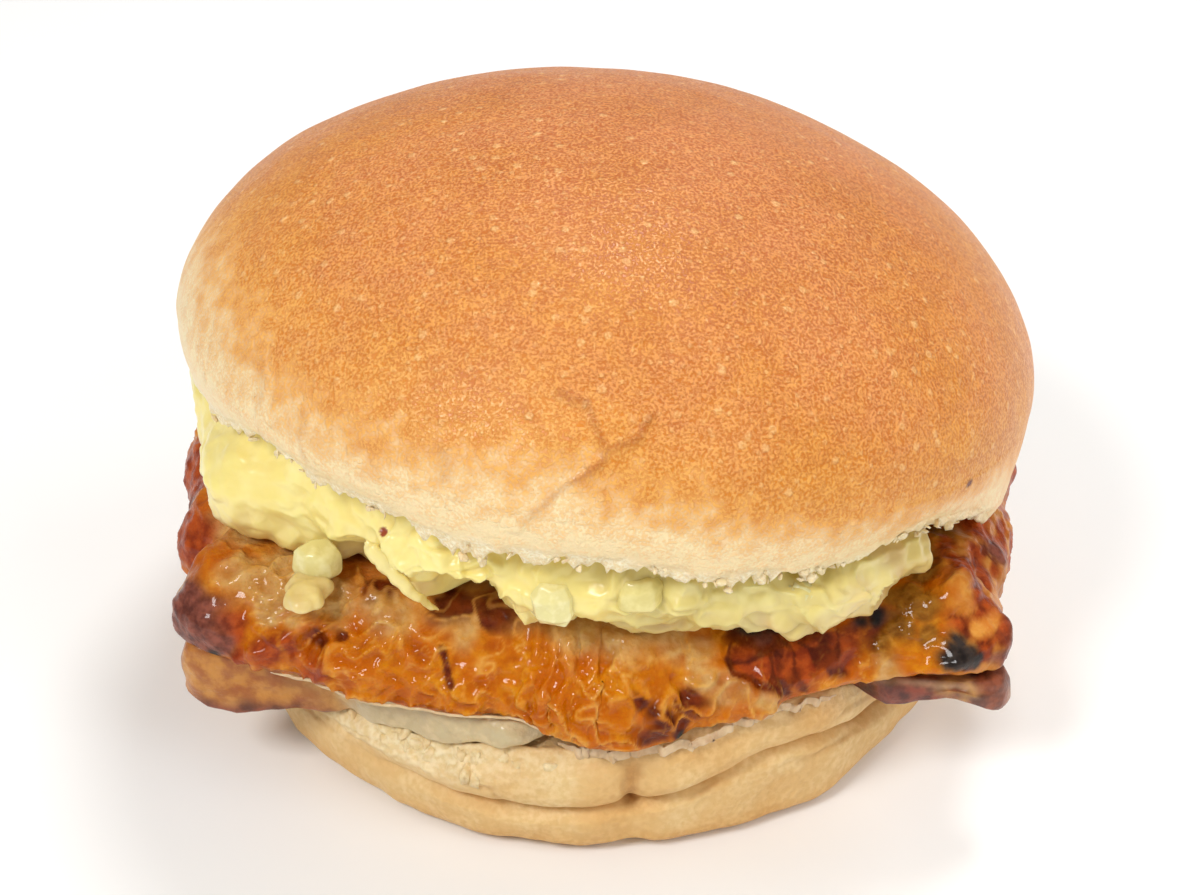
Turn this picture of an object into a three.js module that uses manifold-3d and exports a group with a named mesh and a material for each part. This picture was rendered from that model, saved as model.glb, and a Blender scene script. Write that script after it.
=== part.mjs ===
// A chicken burger: a soft round bun in two halves, a grilled skin-on piece of chicken with its
// lower fold, a thick layer of yellow sauce with onion in it, and a dollop of sauce on the skin.
// Millimetres, +Z up. The front faces -Y, and the origin is the middle of the bun's flat base.

import * as THREE from 'three';
import { mergeVertices } from 'three/addons/utils/BufferGeometryUtils.js';
import Module from 'manifold-3d';

// Driving dimensions of the bun
const heel = {
  baseRadius: 46,
  footRadius: 49.2,
  lowerRollRadius: 50.7,
  creaseRadius: 48.9,
  upperRollRadius: 51.8,
  rimRadius: 50.2,
  rimHeight: 20.5,
  creaseHeight: 8.6,
  cutHeight: 18.6,
};
const crown = {
  middle: new THREE.Vector3(1.11, -0.05, 49.31),
  pitch: -8.25,
  roll: 6.62,
  radius: 57,
  rise: 31.9,
  skirt: 6.4,
  roundness: 1.85,
  lipRadius: 55,
  domeRings: 11,
};

// Driving dimensions of the filling
const chicken = {
  middle: [0, -2],
  halfWidth: 58,
  frontDepth: 49,
  backDepth: 46,
  underside: 22.9,
  frontTop: 34.2,
  frontTopAt: -45,
  fallPerDepth: 0.05,
  fallPerWidth: 0.02,
  wrinkle: 0.55,
};
const fold = {
  underside: 19.2,
  top: 22.45,
  innerReach: 43.5,
  bandReach: 7.6,
  rightReach: 11.5,
  leftReach: 13.3,
  cornerReach: 12,
};
const sauce = {
  middle: [-6, -5],
  halfWidth: 49,
  frontDepth: 43,
  backDepth: 41,
  bulge: 2.4,
  crownReach: 50,
  backInset: 6,
  hollowLift: 0.031,
};
const dollop = { at: [-36.1, -40.2], halfWidth: 2.8, halfDepth: 4.8, height: 3.2 };
const onionsInSauce = [
  { name: 'onion_piece_1', at: [-5.5, -50.6, 40.3], halfWidth: 3.1, halfDepth: 3.3, height: 5.4 },
  { name: 'onion_piece_2', at: [4.4, -50.6, 41.6], halfWidth: 3.2, halfDepth: 2.7, height: 4.6 },
];
const onionOnDollop = {
  name: 'onion_piece_3', at: [-34.8, -37.4, 36.3], halfWidth: 3.4, halfDepth: 2.2, height: 3.9,
};

// Clearance between pieces that touch
const gap = 0.42;

const degree = Math.PI / 180;
const turn = 2 * Math.PI;
const front = -Math.PI / 2;

// Curves used for every piece

function blend(from, to, share) {
  return from + (to - from) * share;
}

function smooth(start, end, value) {
  const share = Math.min(1, Math.max(0, (value - start) / (end - start)));
  return share * share * (3 - 2 * share);
}

function hump(distance, width) {
  return Math.exp(-((distance / width) ** 2));
}

function degreesApart(angle, place) {
  const apart = (angle / degree - place) % 360;
  return ((apart + 540) % 360) - 180;
}

// Sum of humps round the outline, each given as [place in degrees, height, width in degrees]
function humps(angle, list) {
  return list.reduce((sum, [place, height, width]) => {
    return sum + height * hump(degreesApart(angle, place), width);
  }, 0);
}

// Sum of waves round the outline, each given as [waves a turn, height, start in degrees]
function waves(angle, list) {
  return list.reduce((sum, [count, height, start]) => {
    return sum + height * Math.sin(count * angle + start * degree);
  }, 0);
}

// Share from 0 at the back and sides to 1 at the front
function frontness(angle) {
  return Math.max(0, -Math.sin(angle)) ** 2;
}

function roundedOutline(angle, halfWidth, frontDepth, backDepth, frontPower, backPower) {
  const across = Math.abs(Math.cos(angle));
  const along = Math.sin(angle);
  const depth = along < 0 ? frontDepth : backDepth;
  const power = along < 0 ? frontPower : backPower;
  const sum = (across / halfWidth) ** power + (Math.abs(along) / depth) ** power;
  return sum ** (-1 / power);
}

// Angles round a piece, closer together at the front by the share given
function anglesRound(count, crowding) {
  return Array.from({ length: count }, (_, step) => {
    const even = (turn * step) / count;
    return front + even - crowding * Math.sin(even);
  });
}

// Closed solid from rings of points. Each angle gives the same number of [radius, height]
// stations, from the middle of the underside, out round the edge, to the middle of the top.
function ringSolid(angles, stationsAt, middle = [0, 0]) {
  const columns = angles.map((angle) => stationsAt(angle));
  const last = columns[0].length - 1;
  const rings = last - 1;
  const points = [];
  angles.forEach((angle, column) => {
    for (let ring = 1; ring < last; ring += 1) {
      const [radius, height] = columns[column][ring];
      const x = middle[0] + radius * Math.cos(angle);
      const y = middle[1] + radius * Math.sin(angle);
      points.push(x, y, height);
    }
  });
  const bottom = points.length / 3;
  points.push(middle[0], middle[1], columns[0][0][1]);
  const top = bottom + 1;
  points.push(middle[0], middle[1], columns[0][last][1]);

  const faces = [];
  angles.forEach((_, column) => {
    const here = column * rings;
    const next = ((column + 1) % angles.length) * rings;
    faces.push(bottom, next, here);
    for (let ring = 0; ring < rings - 1; ring += 1) {
      faces.push(here + ring, next + ring, next + ring + 1);
      faces.push(here + ring, next + ring + 1, here + ring + 1);
    }
    faces.push(here + rings - 1, next + rings - 1, top);
  });
  const geometry = new THREE.BufferGeometry();
  geometry.setAttribute('position', new THREE.Float32BufferAttribute(points, 3));
  geometry.setIndex(faces);
  geometry.computeVertexNormals();
  return geometry;
}

// Bottom half of the bun: a flat base, a lower roll, a crease and an upper roll up to a thin lip.
// The filling presses the lip down at the front left and at the right-hand corner.

function heelRim(angle) {
  const pressed = humps(angle, [[-135, 7.4, 15], [-113, 3.9, 11], [-95, 1.9, 8], [-43, 3.2, 10]]);
  const lift = humps(angle, [[-65, 0.9, 8]]);
  return heel.rimHeight - pressed + lift + waves(angle, [[5, 0.2, 40], [9, 0.12, 100]]);
}

// Height of the cut face just inside the lip
function heelShelf(angle) {
  return Math.min(heel.cutHeight, blend(heel.cutHeight, heelRim(angle), 0.6));
}

function heelCrease(angle) {
  const sag = humps(angle, [[-62, 4.8, 15], [-101, -0.9, 6], [-130, -0.6, 12], [80, 2, 40]]);
  return heel.creaseHeight + sag;
}

function heelStations(angle) {
  const rim = heelRim(angle);
  const crease = heelCrease(angle);
  const swell = waves(angle, [[3, 0.35, 20], [7, 0.25, 75], [12, 0.12, 10]]);
  const pinch = humps(angle, [[-86, 0.9, 3.5], [-101, 0.4, 4], [-42, 0.8, 9], [150, 0.6, 9]]);
  const edge = swell - pinch;
  const upper = heel.upperRollRadius - humps(angle, [[-140, 1.3, 16], [-38, 1.2, 16]]);
  const shallow = humps(angle, [[-132, 1.5, 20]]);
  return [
    [0, 0],
    [heel.baseRadius, 0],
    [heel.footRadius - 0.6 + edge, 0.7 + pinch],
    [blend(heel.footRadius, heel.lowerRollRadius, 0.7) + edge, 2.8],
    [heel.lowerRollRadius + edge, crease - 2.2],
    [heel.creaseRadius + edge + shallow, crease],
    [upper - 0.9 + edge, crease + 1.3],
    [upper + edge, crease + 3.6],
    [upper - 0.2 + edge, blend(crease, rim, 0.62)],
    [heel.rimRadius + 0.5 + 0.5 * edge, rim - 1.8],
    [heel.rimRadius - 0.4 + 0.3 * edge, rim],
    [heel.rimRadius - 1.9, rim - 0.7],
    [heel.rimRadius - 5, heelShelf(angle)],
    [heel.rimRadius - 14, heel.cutHeight],
    [heel.rimRadius / 2, heel.cutHeight],
    [0, heel.cutHeight],
  ];
}

// Top half of the bun, in its own tilted frame: z = 0 is the level of its widest ring

const crownTilt = new THREE.Euler(crown.pitch * degree, crown.roll * degree, 0, 'YXZ');
const crownUp = new THREE.Vector3(0, 0, 1).applyEuler(crownTilt);

// Height of the crown's cut face over the point (x, y)
function crownUnderside(x, y) {
  const fall = crownUp.x * (x - crown.middle.x) + crownUp.y * (y - crown.middle.y);
  return crown.middle.z - (crown.skirt + fall) / crownUp.z;
}

// The torn lip: its height in the crown's frame. The right-hand corner of the bun droops.
function crownLip(angle) {
  const droop = humps(angle, [[-21, 6.2, 11], [-163, 0.8, 12], [-63, 0.9, 12], [-78, 0.7, 4]]);
  const lift = humps(angle, [[-137, 2.2, 10], [-121, 1.1, 6], [-90, 0.5, 6], [-47, 1.5, 5]]);
  return -crown.skirt + lift - droop + waves(angle, [[11, 0.15, 30], [17, 0.12, 0]]);
}

function crownStations(angle) {
  const lip = crownLip(angle);
  const corner = humps(angle, [[-21, 1, 12]]);
  const lean = humps(angle, [[130, -1, 32], [38, 0.9, 30], [-175, 0.5, 15]]);
  const squash = lean + waves(angle, [[3, 0.2, 60]]);
  const radius = crown.radius + squash;
  const lipRadius = crown.lipRadius + 0.7 * corner + 0.5 * squash;
  const face = -crown.skirt;
  const stations = [
    [0, face],
    [25, face],
    [crown.lipRadius - 6.5, face],
    [lipRadius - 2.8, blend(face, lip, 0.45)],
    [lipRadius - 1.2, lip],
    [lipRadius, lip + 0.7],
    [blend(lipRadius, radius, 0.55), 0.62 * lip],
    [blend(lipRadius, radius, 0.88), 0.3 * lip],
  ];
  const power = 2 / crown.roundness;
  for (let ring = 0; ring < crown.domeRings; ring += 1) {
    const climb = (90 * degree * ring) / crown.domeRings;
    stations.push([radius * Math.cos(climb) ** power, crown.rise * Math.sin(climb) ** power]);
  }
  stations.push([0, crown.rise]);
  return stations;
}

// The piece of chicken: a slab with a square front, its skin wrinkled where nothing lies on it

function sauceBorder(angle) {
  const outline = roundedOutline(
    angle, sauce.halfWidth, sauce.frontDepth, sauce.backDepth, 2.6, 2.4,
  );
  const edge = humps(angle, [
    [-131, -10, 15], [-84, -1.8, 7], [-50, 5.4, 15], [-34, 1.8, 10], [-165, -3.4, 10],
  ]);
  return outline + edge + waves(angle, [[13, 0.35, 20], [21, 0.3, 80]]);
}

function besideSauce(x, y) {
  const dx = x - sauce.middle[0];
  const dy = y - sauce.middle[1];
  return Math.hypot(dx, dy) - sauceBorder(Math.atan2(dy, dx));
}

// The plane that the sauce lies on
function chickenLevel(x, y) {
  const fall = chicken.fallPerDepth * (y - chicken.frontTopAt) + chicken.fallPerWidth * x;
  return chicken.frontTop - fall;
}

// Height of the chicken's top, with the raised strip at its right and two burnt hollows
function chickenTop(x, y) {
  const strip = (2.4 * hump(x - 47, 4.5) - 1.6 * hump(x - 40.5, 3)) * hump(y + 35, 9);
  const middleHollow = 1.9 * hump(x - 16, 6) * hump(y + 44, 3.5);
  const rightHollow = 2.2 * hump(x - 35, 4) * hump(y + 42, 6);
  const knob = 1.6 * hump(x + 53, 5) * hump(y + 29, 8);
  const bare = smooth(-0.5, 3.5, besideSauce(x, y));
  const folds = 0.8 * Math.sin(0.24 * x + 0.13 * y) * Math.sin(0.2 * y - 0.05 * x + 1);
  return chickenLevel(x, y) + bare * (strip + knob + folds) - middleHollow - rightHollow;
}

function chickenOutline(angle) {
  const outline = roundedOutline(
    angle, chicken.halfWidth, chicken.frontDepth, chicken.backDepth, 2.6, 2.6,
  );
  const edge = humps(angle, [
    [-170, -1.6, 7], [-156, -3.4, 3.6], [-147, 4.3, 7], [-132, -1.2, 8], [-117, -2, 8],
    [-105, -1.4, 7], [-87, 2.5, 9], [-57, -2.8, 12], [-40, 3.1, 6], [-22, -1.9, 9], [-9, -1.9, 7],
    [30, 1.2, 12], [62, -2.4, 14], [118, -2.8, 12], [150, 1, 10],
  ]);
  return outline + edge + waves(angle, [[15, 0.3, 10], [26, 0.25, 50]]);
}

// Ridges of the wrinkled skin at a length along the edge and a height
function skinRidges(along, height) {
  const lean = along + 1.1 * Math.sin(0.55 * height);
  return 0.6 * Math.sin(0.95 * lean) + 0.4 * Math.sin(0.61 * lean + 0.5 * height + 2);
}

// How far the lower edge hangs below the underside
function chickenHang(angle) {
  const down = humps(angle, [[-86, 2.4, 13], [-115, 0.7, 12], [-12, 0.8, 10]]);
  const up = humps(angle, [[-144, 1, 11], [-42, 1, 10]]);
  return down - up;
}

function chickenStations(angle) {
  const [midX, midY] = chicken.middle;
  const edge = chickenOutline(angle);
  const facing = frontness(angle);
  const hang = chickenHang(angle);
  const lean = 3.6 + 4 * facing - humps(angle, [[-24, 1.2, 10]]);
  const rolls = 0.3 + 0.7 * facing;
  const floor = chicken.underside;
  const low = floor - hang;
  const topAt = (radius) => {
    return chickenTop(midX + radius * Math.cos(angle), midY + radius * Math.sin(angle));
  };
  const shoulder = topAt(edge - lean) - 0.9;
  const lobe = humps(angle, [[-37, 2.8, 6]]);
  const face = [0, 0.2, 0.42, 0.64, 0.84, 1].map((climb) => {
    const height = blend(low + 1.2, shoulder, climb);
    const ridge = chicken.wrinkle * rolls * skinRidges(edge * angle, height);
    const belly = 0.9 * Math.sin(Math.PI * climb);
    const bulge = lobe * (1 - smooth(0.4, 0.75, climb));
    return [edge - lean * climb ** 1.5 + belly + ridge + bulge, height];
  });
  const inward = (inset) => [edge - lean - inset, topAt(edge - lean - inset)];
  const inner = 0.4 * edge;
  return [
    [0, floor],
    [0.45 * edge, floor],
    [0.8 * edge, floor],
    [edge - 3.8, floor - 0.25 * hang],
    [edge - 0.9, low],
    ...face,
    inward(1.8),
    inward(4.6),
    inward(8.5),
    inward(13.5),
    [inner, topAt(inner)],
    [0, chickenLevel(midX, midY)],
  ];
}

// The lower fold of the chicken: thin inside the bun's lip, showing as a pale band over the
// pressed lip at the front left, and hanging out below the upper piece at both front corners

function foldStations(angle) {
  const place = degreesApart(angle, 0);
  const band = smooth(-152, -147, place) * (1 - smooth(-107, -92, place));
  const rightStart = smooth(-52, -49, place);
  const right = rightStart * (1 - smooth(-38, -33.5, place));
  const leftCorner = humps(angle, [[-146, 1, 8.5]]);
  const rightCorner = humps(angle, [[-39, 1, 6.8]]);
  const reach = fold.bandReach * band + fold.rightReach * right;
  const ragged = 0.4 * (band + right) * Math.sin(31 * angle);
  const corners = fold.leftReach * leftCorner * band + fold.cornerReach * rightCorner * rightStart;
  const edge = fold.innerReach + reach + corners + ragged;
  const overLip = Math.min(fold.underside, heelRim(angle) + gap + 0.3);
  const onShelf = Math.min(fold.underside, heelShelf(angle) + gap + 0.5);
  const droop = (2.2 * leftCorner * band - 0.7 * right) * smooth(54, 60, edge);
  const low = overLip - droop;
  const lift = 0.6 * (leftCorner * band + rightCorner * right);
  const high = fold.top + lift - Math.max(0, chickenHang(angle));
  const lipEdge = Math.min(heel.upperRollRadius, edge - 1.4);
  return [
    [0, fold.underside],
    [heel.rimRadius - 13, fold.underside],
    [Math.min(heel.rimRadius - 5, edge - 2.6), onShelf],
    [lipEdge, overLip],
    [edge - 0.3, low + 0.1],
    [edge, blend(low, high, 0.4)],
    [edge - 0.4, blend(low, high, 0.75)],
    [edge - 1.5, high],
    [edge - 5.5, blend(high, fold.top, 0.7)],
    [0, fold.top],
  ];
}

// The layer of sauce between the chicken and the crown, bulging out below the crown's lip. It
// bridges two hollows at the front left, where its resting edge lies further in.

// Distance from the sauce's middle to a circle about the crown's middle
function reachUnderCrown(angle, radius) {
  const offsetX = sauce.middle[0] - crown.middle.x;
  const offsetY = sauce.middle[1] - crown.middle.y;
  const along = offsetX * Math.cos(angle) + offsetY * Math.sin(angle);
  const away = offsetX ** 2 + offsetY ** 2;
  return Math.sqrt(along ** 2 + radius ** 2 - away) - along;
}

function sauceStations(angle) {
  const [midX, midY] = sauce.middle;
  const height = (surface, radius) => {
    return surface(midX + radius * Math.cos(angle), midY + radius * Math.sin(angle));
  };
  const border = sauceBorder(angle);
  const drooped = humps(angle, [[-12, 4, 16]]);
  const inset = sauce.backInset * smooth(-0.2, 0.9, Math.sin(angle)) + drooped;
  const upper = Math.min(reachUnderCrown(angle, sauce.crownReach) - inset, border + 4);
  const belly = Math.max(upper, border) + sauce.bulge * (0.3 + 0.7 * frontness(angle));
  const leftSide = humps(angle, [[179, 1.9, 13]]);
  const rolls = waves(angle, [[19, 0.5, 0], [31, 0.4, 45]]) * (0.4 + 0.6 * frontness(angle));
  const rest = height(chickenLevel, border) + gap;
  const ceiling = height(crownUnderside, upper) - gap;
  const hollow = humps(angle, [[-104.5, 9, 6.5], [-123.5, 4.5, 4.5]]);
  const lifted = sauce.hollowLift * hollow;
  const at = (share) => blend(rest, ceiling, share);
  return [
    [0, height(chickenLevel, 0) + gap],
    [0.55 * border, height(chickenLevel, 0.55 * border) + gap],
    [border - hollow - 4, height(chickenLevel, border - 4) + gap],
    [border - hollow - 1.6, rest + 0.35],
    [border - hollow, at(0.14 + lifted)],
    [blend(border - 0.6 * hollow, belly, 0.45) + 0.6 * rolls, at(0.3 + lifted)],
    [belly + rolls, at(0.5 + 0.7 * lifted)],
    [blend(belly, upper, 0.25) + 0.7 * rolls + leftSide, at(0.7 + 0.4 * lifted)],
    [blend(belly, upper, 0.7) + 0.3 * rolls + leftSide, at(0.87)],
    [upper - 0.6, ceiling],
    [0.6 * upper, height(crownUnderside, 0.6 * upper) - gap],
    [0, height(crownUnderside, 0) - gap],
  ];
}

// A small lump lying on the chicken, with a soft uneven outline
function dollopStations(angle) {
  const [midX, midY] = dollop.at;
  const size = 1 / Math.hypot(
    Math.cos(angle) / dollop.halfWidth, Math.sin(angle) / dollop.halfDepth,
  );
  const edge = size * (1 + 0.09 * Math.sin(3 * angle + 1) + 0.05 * Math.sin(5 * angle));
  const floorAt = (radius) => {
    const x = midX + radius * Math.cos(angle);
    const y = midY + radius * Math.sin(angle);
    return chickenTop(x, y) + gap + 0.25;
  };
  const climb = dollop.height;
  return [
    [0, floorAt(0)],
    [edge - 1, floorAt(edge)],
    [edge, floorAt(edge) + 0.28 * climb],
    [0.86 * edge, floorAt(edge) + 0.62 * climb],
    [0.52 * edge, floorAt(0) + 0.92 * climb],
    [0, floorAt(0) + climb],
  ];
}

// A piece of cut onion: a rough block with flat sides, grown on every side by the margin given
function onionBlock(onion, margin) {
  const [x, y, floor] = onion.at;
  const angles = anglesRound(7, 0.25);
  const stations = (angle) => {
    const size = 1 / Math.hypot(
      Math.cos(angle) / (onion.halfWidth + margin), Math.sin(angle) / (onion.halfDepth + margin),
    );
    const low = floor - margin;
    const high = floor + onion.height + margin;
    return [
      [0, low],
      [0.8 * size, low],
      [size, blend(low, high, 0.2)],
      [0.97 * size, blend(low, high, 0.75)],
      [0.7 * size, high],
      [0, high],
    ];
  };
  return ringSolid(angles, stations, [x, y]);
}

// Cutting pockets

const wasm = await Module();
wasm.setup();

function solidOf(geometry) {
  const bare = new THREE.BufferGeometry();
  bare.setAttribute('position', geometry.getAttribute('position'));
  bare.setIndex(geometry.getIndex());
  const merged = mergeVertices(bare);
  const vertProperties = new Float32Array(merged.getAttribute('position').array);
  const triVerts = new Uint32Array(merged.getIndex().array);
  return new wasm.Manifold(new wasm.Mesh({ numProp: 3, vertProperties, triVerts }));
}

// The geometry with a pocket cut in it for each piece of onion, a gap wider than the piece
function withPockets(geometry, onions) {
  const pockets = onions.map((onion) => solidOf(onionBlock(onion, gap)));
  const solid = pockets.reduce((left, pocket) => left.subtract(pocket), solidOf(geometry));
  const mesh = solid.getMesh();
  const result = new THREE.BufferGeometry();
  result.setAttribute('position', new THREE.BufferAttribute(mesh.vertProperties, 3));
  result.setIndex(new THREE.BufferAttribute(mesh.triVerts, 1));
  result.computeVertexNormals();
  return result;
}

// Putting the pieces together

function finish(color, roughness) {
  return new THREE.MeshStandardMaterial({ color, roughness, metalness: 0, side: THREE.FrontSide });
}

function piece(name, geometry, material) {
  const mesh = new THREE.Mesh(geometry, material);
  mesh.name = name;
  return mesh;
}

const crust = finish('#d9914f', 0.45);
const paleCrust = finish('#e9cd9a', 0.7);
const grilledSkin = finish('#b8692c', 0.35);
const grilledMeat = finish('#a4552b', 0.45);
const yellowSauce = finish('#ecdc8c', 0.3);
const paleOnion = finish('#efe9c0', 0.25);

const burger = new THREE.Group();
burger.add(piece('bun_bottom', ringSolid(anglesRound(64, 0.35), heelStations), paleCrust));
burger.add(piece('chicken_under', ringSolid(anglesRound(52, 0.3), foldStations), grilledMeat));
burger.add(
  piece('chicken', ringSolid(anglesRound(88, 0.5), chickenStations, chicken.middle), grilledSkin),
);
const wholeSauce = ringSolid(anglesRound(76, 0.5), sauceStations, sauce.middle);
const wholeDollop = ringSolid(anglesRound(16, 0), dollopStations, dollop.at);
burger.add(piece('sauce', withPockets(wholeSauce, onionsInSauce), yellowSauce));
burger.add(piece('sauce_dollop', withPockets(wholeDollop, [onionOnDollop]), yellowSauce));
[...onionsInSauce, onionOnDollop].forEach((onion) => {
  burger.add(piece(onion.name, onionBlock(onion, 0), paleOnion));
});

const tilted = new THREE.Group();
tilted.position.copy(crown.middle);
tilted.rotation.copy(crownTilt);
tilted.add(piece('bun_top', ringSolid(anglesRound(60, 0.3), crownStations), crust));
burger.add(tilted);

export default burger;
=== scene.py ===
# A chicken burger: a soft bun, grilled skin-on chicken with its lower fold, yellow sauce and onion.
# Sizes are in millimetres until a mesh is made. The front faces -Y and the base rests on z = 0.
import math

import bmesh
import bpy
import numpy as np
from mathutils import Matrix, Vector


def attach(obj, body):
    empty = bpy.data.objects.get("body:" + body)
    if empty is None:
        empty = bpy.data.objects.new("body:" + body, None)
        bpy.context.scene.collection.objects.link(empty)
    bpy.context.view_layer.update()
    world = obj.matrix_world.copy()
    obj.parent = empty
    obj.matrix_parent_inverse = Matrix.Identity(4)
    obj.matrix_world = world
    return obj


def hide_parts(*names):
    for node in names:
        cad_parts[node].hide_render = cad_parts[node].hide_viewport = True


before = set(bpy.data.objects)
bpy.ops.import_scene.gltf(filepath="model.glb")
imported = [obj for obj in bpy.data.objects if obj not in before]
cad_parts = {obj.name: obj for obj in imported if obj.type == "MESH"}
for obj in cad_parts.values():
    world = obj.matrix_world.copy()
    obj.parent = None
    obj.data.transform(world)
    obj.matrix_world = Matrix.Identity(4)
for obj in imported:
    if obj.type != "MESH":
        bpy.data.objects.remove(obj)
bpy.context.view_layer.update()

mm = 0.001
degree = math.pi / 180
front = -math.pi / 2
fullTurn = 2 * math.pi


# Curves that the forms are drawn with

def blend(start, end, share):
    return start + (end - start) * share


def smooth(start, end, value):
    share = np.clip((value - start) / (end - start), 0, 1)
    return share * share * (3 - 2 * share)


def hump(distance, width):
    return np.exp(-((distance / width) ** 2))


def degreesApart(angle, place):
    return (angle / degree - place + 180) % 360 - 180


def humps(angle, places):  # each place is (degrees round, height, width in degrees)
    return sum(height * hump(degreesApart(angle, place), width) for place, height, width in places)


def waves(angle, places):  # each place is (waves a turn, height, start in degrees)
    return sum(height * np.sin(count * angle + start * degree) for count, height, start in places)


def frontness(angle):
    return np.maximum(0, -np.sin(angle)) ** 2


def roundedOutline(angle, halfWidth, frontDepth, backDepth, frontPower, backPower):
    isFront = np.sin(angle) < 0
    depth = np.where(isFront, frontDepth, backDepth)
    power = np.where(isFront, frontPower, backPower)
    across = (np.abs(np.cos(angle)) / halfWidth) ** power
    along = (np.abs(np.sin(angle)) / depth) ** power
    return (across + along) ** (-1 / power)


def turnOf(points):  # each point's angle round the middle
    return np.arctan2(points[:, 1], points[:, 0])


def reachOf(points):  # and its distance from the middle
    return np.hypot(points[:, 0], points[:, 1])


def placeAt(middle, angle, radius):
    return middle[0] + radius * np.cos(angle), middle[1] + radius * np.sin(angle)


def anglesRound(count, crowding):  # closer together at the front
    even = fullTurn * np.arange(count) / count
    return front + even - crowding * np.sin(even)


# Random fields and painted places

cellStrides = np.array([73856093, 19349663, 83492791])  # large primes give each cell its own mark
seedShift = 7.31  # how far each seed moves the field
fieldStart = 100  # keeps the cells' numbers positive


def noise(points, size, seed=0):  # smooth, about -1 to 1, with lumps of the size given
    place = points / size + seedShift * seed + fieldStart
    cell = np.floor(place).astype(np.int64)
    inside = place - cell
    ease = inside ** 3 * (inside * (inside * 6 - 15) + 10)
    total = np.zeros(len(points))
    for corner in np.ndindex(2, 2, 2):
        mark = (cell + corner) @ cellStrides
        mark = ((mark ^ (mark >> 13)) * 1274126177) & 0x7FFFFFFF
        mark = mark ^ (mark >> 15)
        slope = np.stack([(mark >> shift) & 1023 for shift in (0, 10, 20)], -1) / 511.5 - 1
        weight = np.prod(np.where(corner, ease, 1 - ease), axis=1)
        total += weight * ((inside - corner) * slope).sum(1)
    return 1.6 * total


def warped(points, size, reach, seed=0):  # the points moved about, so that edges come out uneven
    shift = np.stack([noise(points, size, seed + step) for step in (1, 2, 3)], -1)
    return points + reach * shift


def patches(points, places):  # strongest of some soft round patches, each (x, y, z, reach)
    strength = np.zeros(len(points))
    for x, y, z, reach in places:
        away = (((points - (x, y, z)) / reach) ** 2).sum(1)
        strength = np.maximum(strength, np.exp(-away))
    return strength


def pathDistance(points, path):
    nearest = np.full(len(points), np.inf)
    corners = np.array(path, float)
    for start, end in zip(corners, corners[1:]):
        along = end - start
        share = np.clip((points - start) @ along / (along @ along), 0, 1)
        away = np.linalg.norm(points - start - share[:, None] * along, axis=1)
        nearest = np.minimum(nearest, away)
    return nearest


def ridges(points, paths, width, seed):  # 1 along each path, fading over the width
    moved = warped(points, 3, 0.5, seed)
    return np.max([hump(pathDistance(moved, path), width) for path in paths], axis=0)


# Meshes

def smoothRings(stations, steps, count):  # a smooth curve through the stations of each angle
    knots = np.array([[np.broadcast_to(part, count) for part in station] for station in stations])
    chords = np.linalg.norm(np.diff(knots, axis=0), axis=1).mean(1) + 1e-6
    slopes = np.diff(knots, axis=0) / chords[:, None, None]
    below, above = slopes[:-1], slopes[1:]
    before, after = chords[:-1, None, None], chords[1:, None, None]
    weightBelow, weightAbove = before + 2 * after, 2 * before + after
    with np.errstate(divide="ignore", invalid="ignore"):
        middle = (weightBelow + weightAbove) / (weightBelow / above + weightAbove / below)
    middle = np.where(below * above > 0, middle, 0)  # no bulge past a station
    tangents = np.concatenate([slopes[:1], middle, slopes[-1:]])
    rows = []
    for span, wanted in enumerate(steps):
        length = chords[span]
        for t in np.arange(wanted) / wanted:
            rows.append(
                (2 * t ** 3 - 3 * t ** 2 + 1) * knots[span]
                + (t ** 3 - 2 * t ** 2 + t) * length * tangents[span]
                + (3 * t ** 2 - 2 * t ** 3) * knots[span + 1]
                + (t ** 3 - t ** 2) * length * tangents[span + 1]
            )
    rows.append(knots[-1])
    return np.array(rows).transpose(0, 2, 1)


def newObject(name, points, faces, edges=()):
    mesh = bpy.data.meshes.new(name)
    mesh.from_pydata((np.asarray(points) * mm).tolist(), edges, faces)
    mesh.validate()
    mesh.shade_smooth()
    piece = bpy.data.objects.new(name, mesh)
    bpy.context.scene.collection.objects.link(piece)
    return piece


def ringPiece(name, angles, stations, steps, middle=(0, 0)):
    rings = smoothRings(stations, steps, len(angles))
    points = np.stack([*placeAt(middle, angles, rings[:, :, 0]), rings[:, :, 1]], -1)
    body = points[1:-1].reshape(-1, 3)
    here = np.arange(len(body)).reshape(len(points) - 2, -1)
    after = np.roll(here, -1, axis=1)
    bottom, top = len(body), len(body) + 1
    sides = np.stack([here[:-1], after[:-1], after[1:], here[1:]], -1).reshape(-1, 4)
    faces = sides.tolist()
    faces += [[bottom, b, a] for a, b in zip(here[0].tolist(), after[0].tolist())]
    faces += [[a, b, top] for a, b in zip(here[-1].tolist(), after[-1].tolist())]
    return newObject(name, np.concatenate([body, points[:1, 0], points[-1:, 0]]), faces)


def readPoints(piece):  # in millimetres
    flat = np.empty(3 * len(piece.data.vertices))
    piece.data.vertices.foreach_get("co", flat)
    return flat.reshape(-1, 3) / mm


def readNormals(piece):
    flat = np.empty(3 * len(piece.data.vertices), np.float32)
    piece.data.vertex_normals.foreach_get("vector", flat)
    return flat.reshape(-1, 3)


def readShare(piece, name):  # a share that Geometry Nodes stored on the piece's points
    shares = np.empty(len(piece.data.vertices), np.float32)
    piece.data.attributes[name].data.foreach_get("value", shares)
    return shares


def movePoints(piece, shift):
    points = (readPoints(piece) + shift) * mm
    piece.data.vertices.foreach_set("co", points.ravel())
    piece.data.update()


def pushOut(piece, amount):
    movePoints(piece, readNormals(piece) * amount[:, None])


def paint(piece, name, values):  # a mask that the piece's material reads
    layers = piece.data.attributes
    layer = layers.get(name) or layers.new(name, "FLOAT", "POINT")
    layer.data.foreach_set("value", np.clip(values, 0, 1).astype(np.float32))


# Materials

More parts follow.
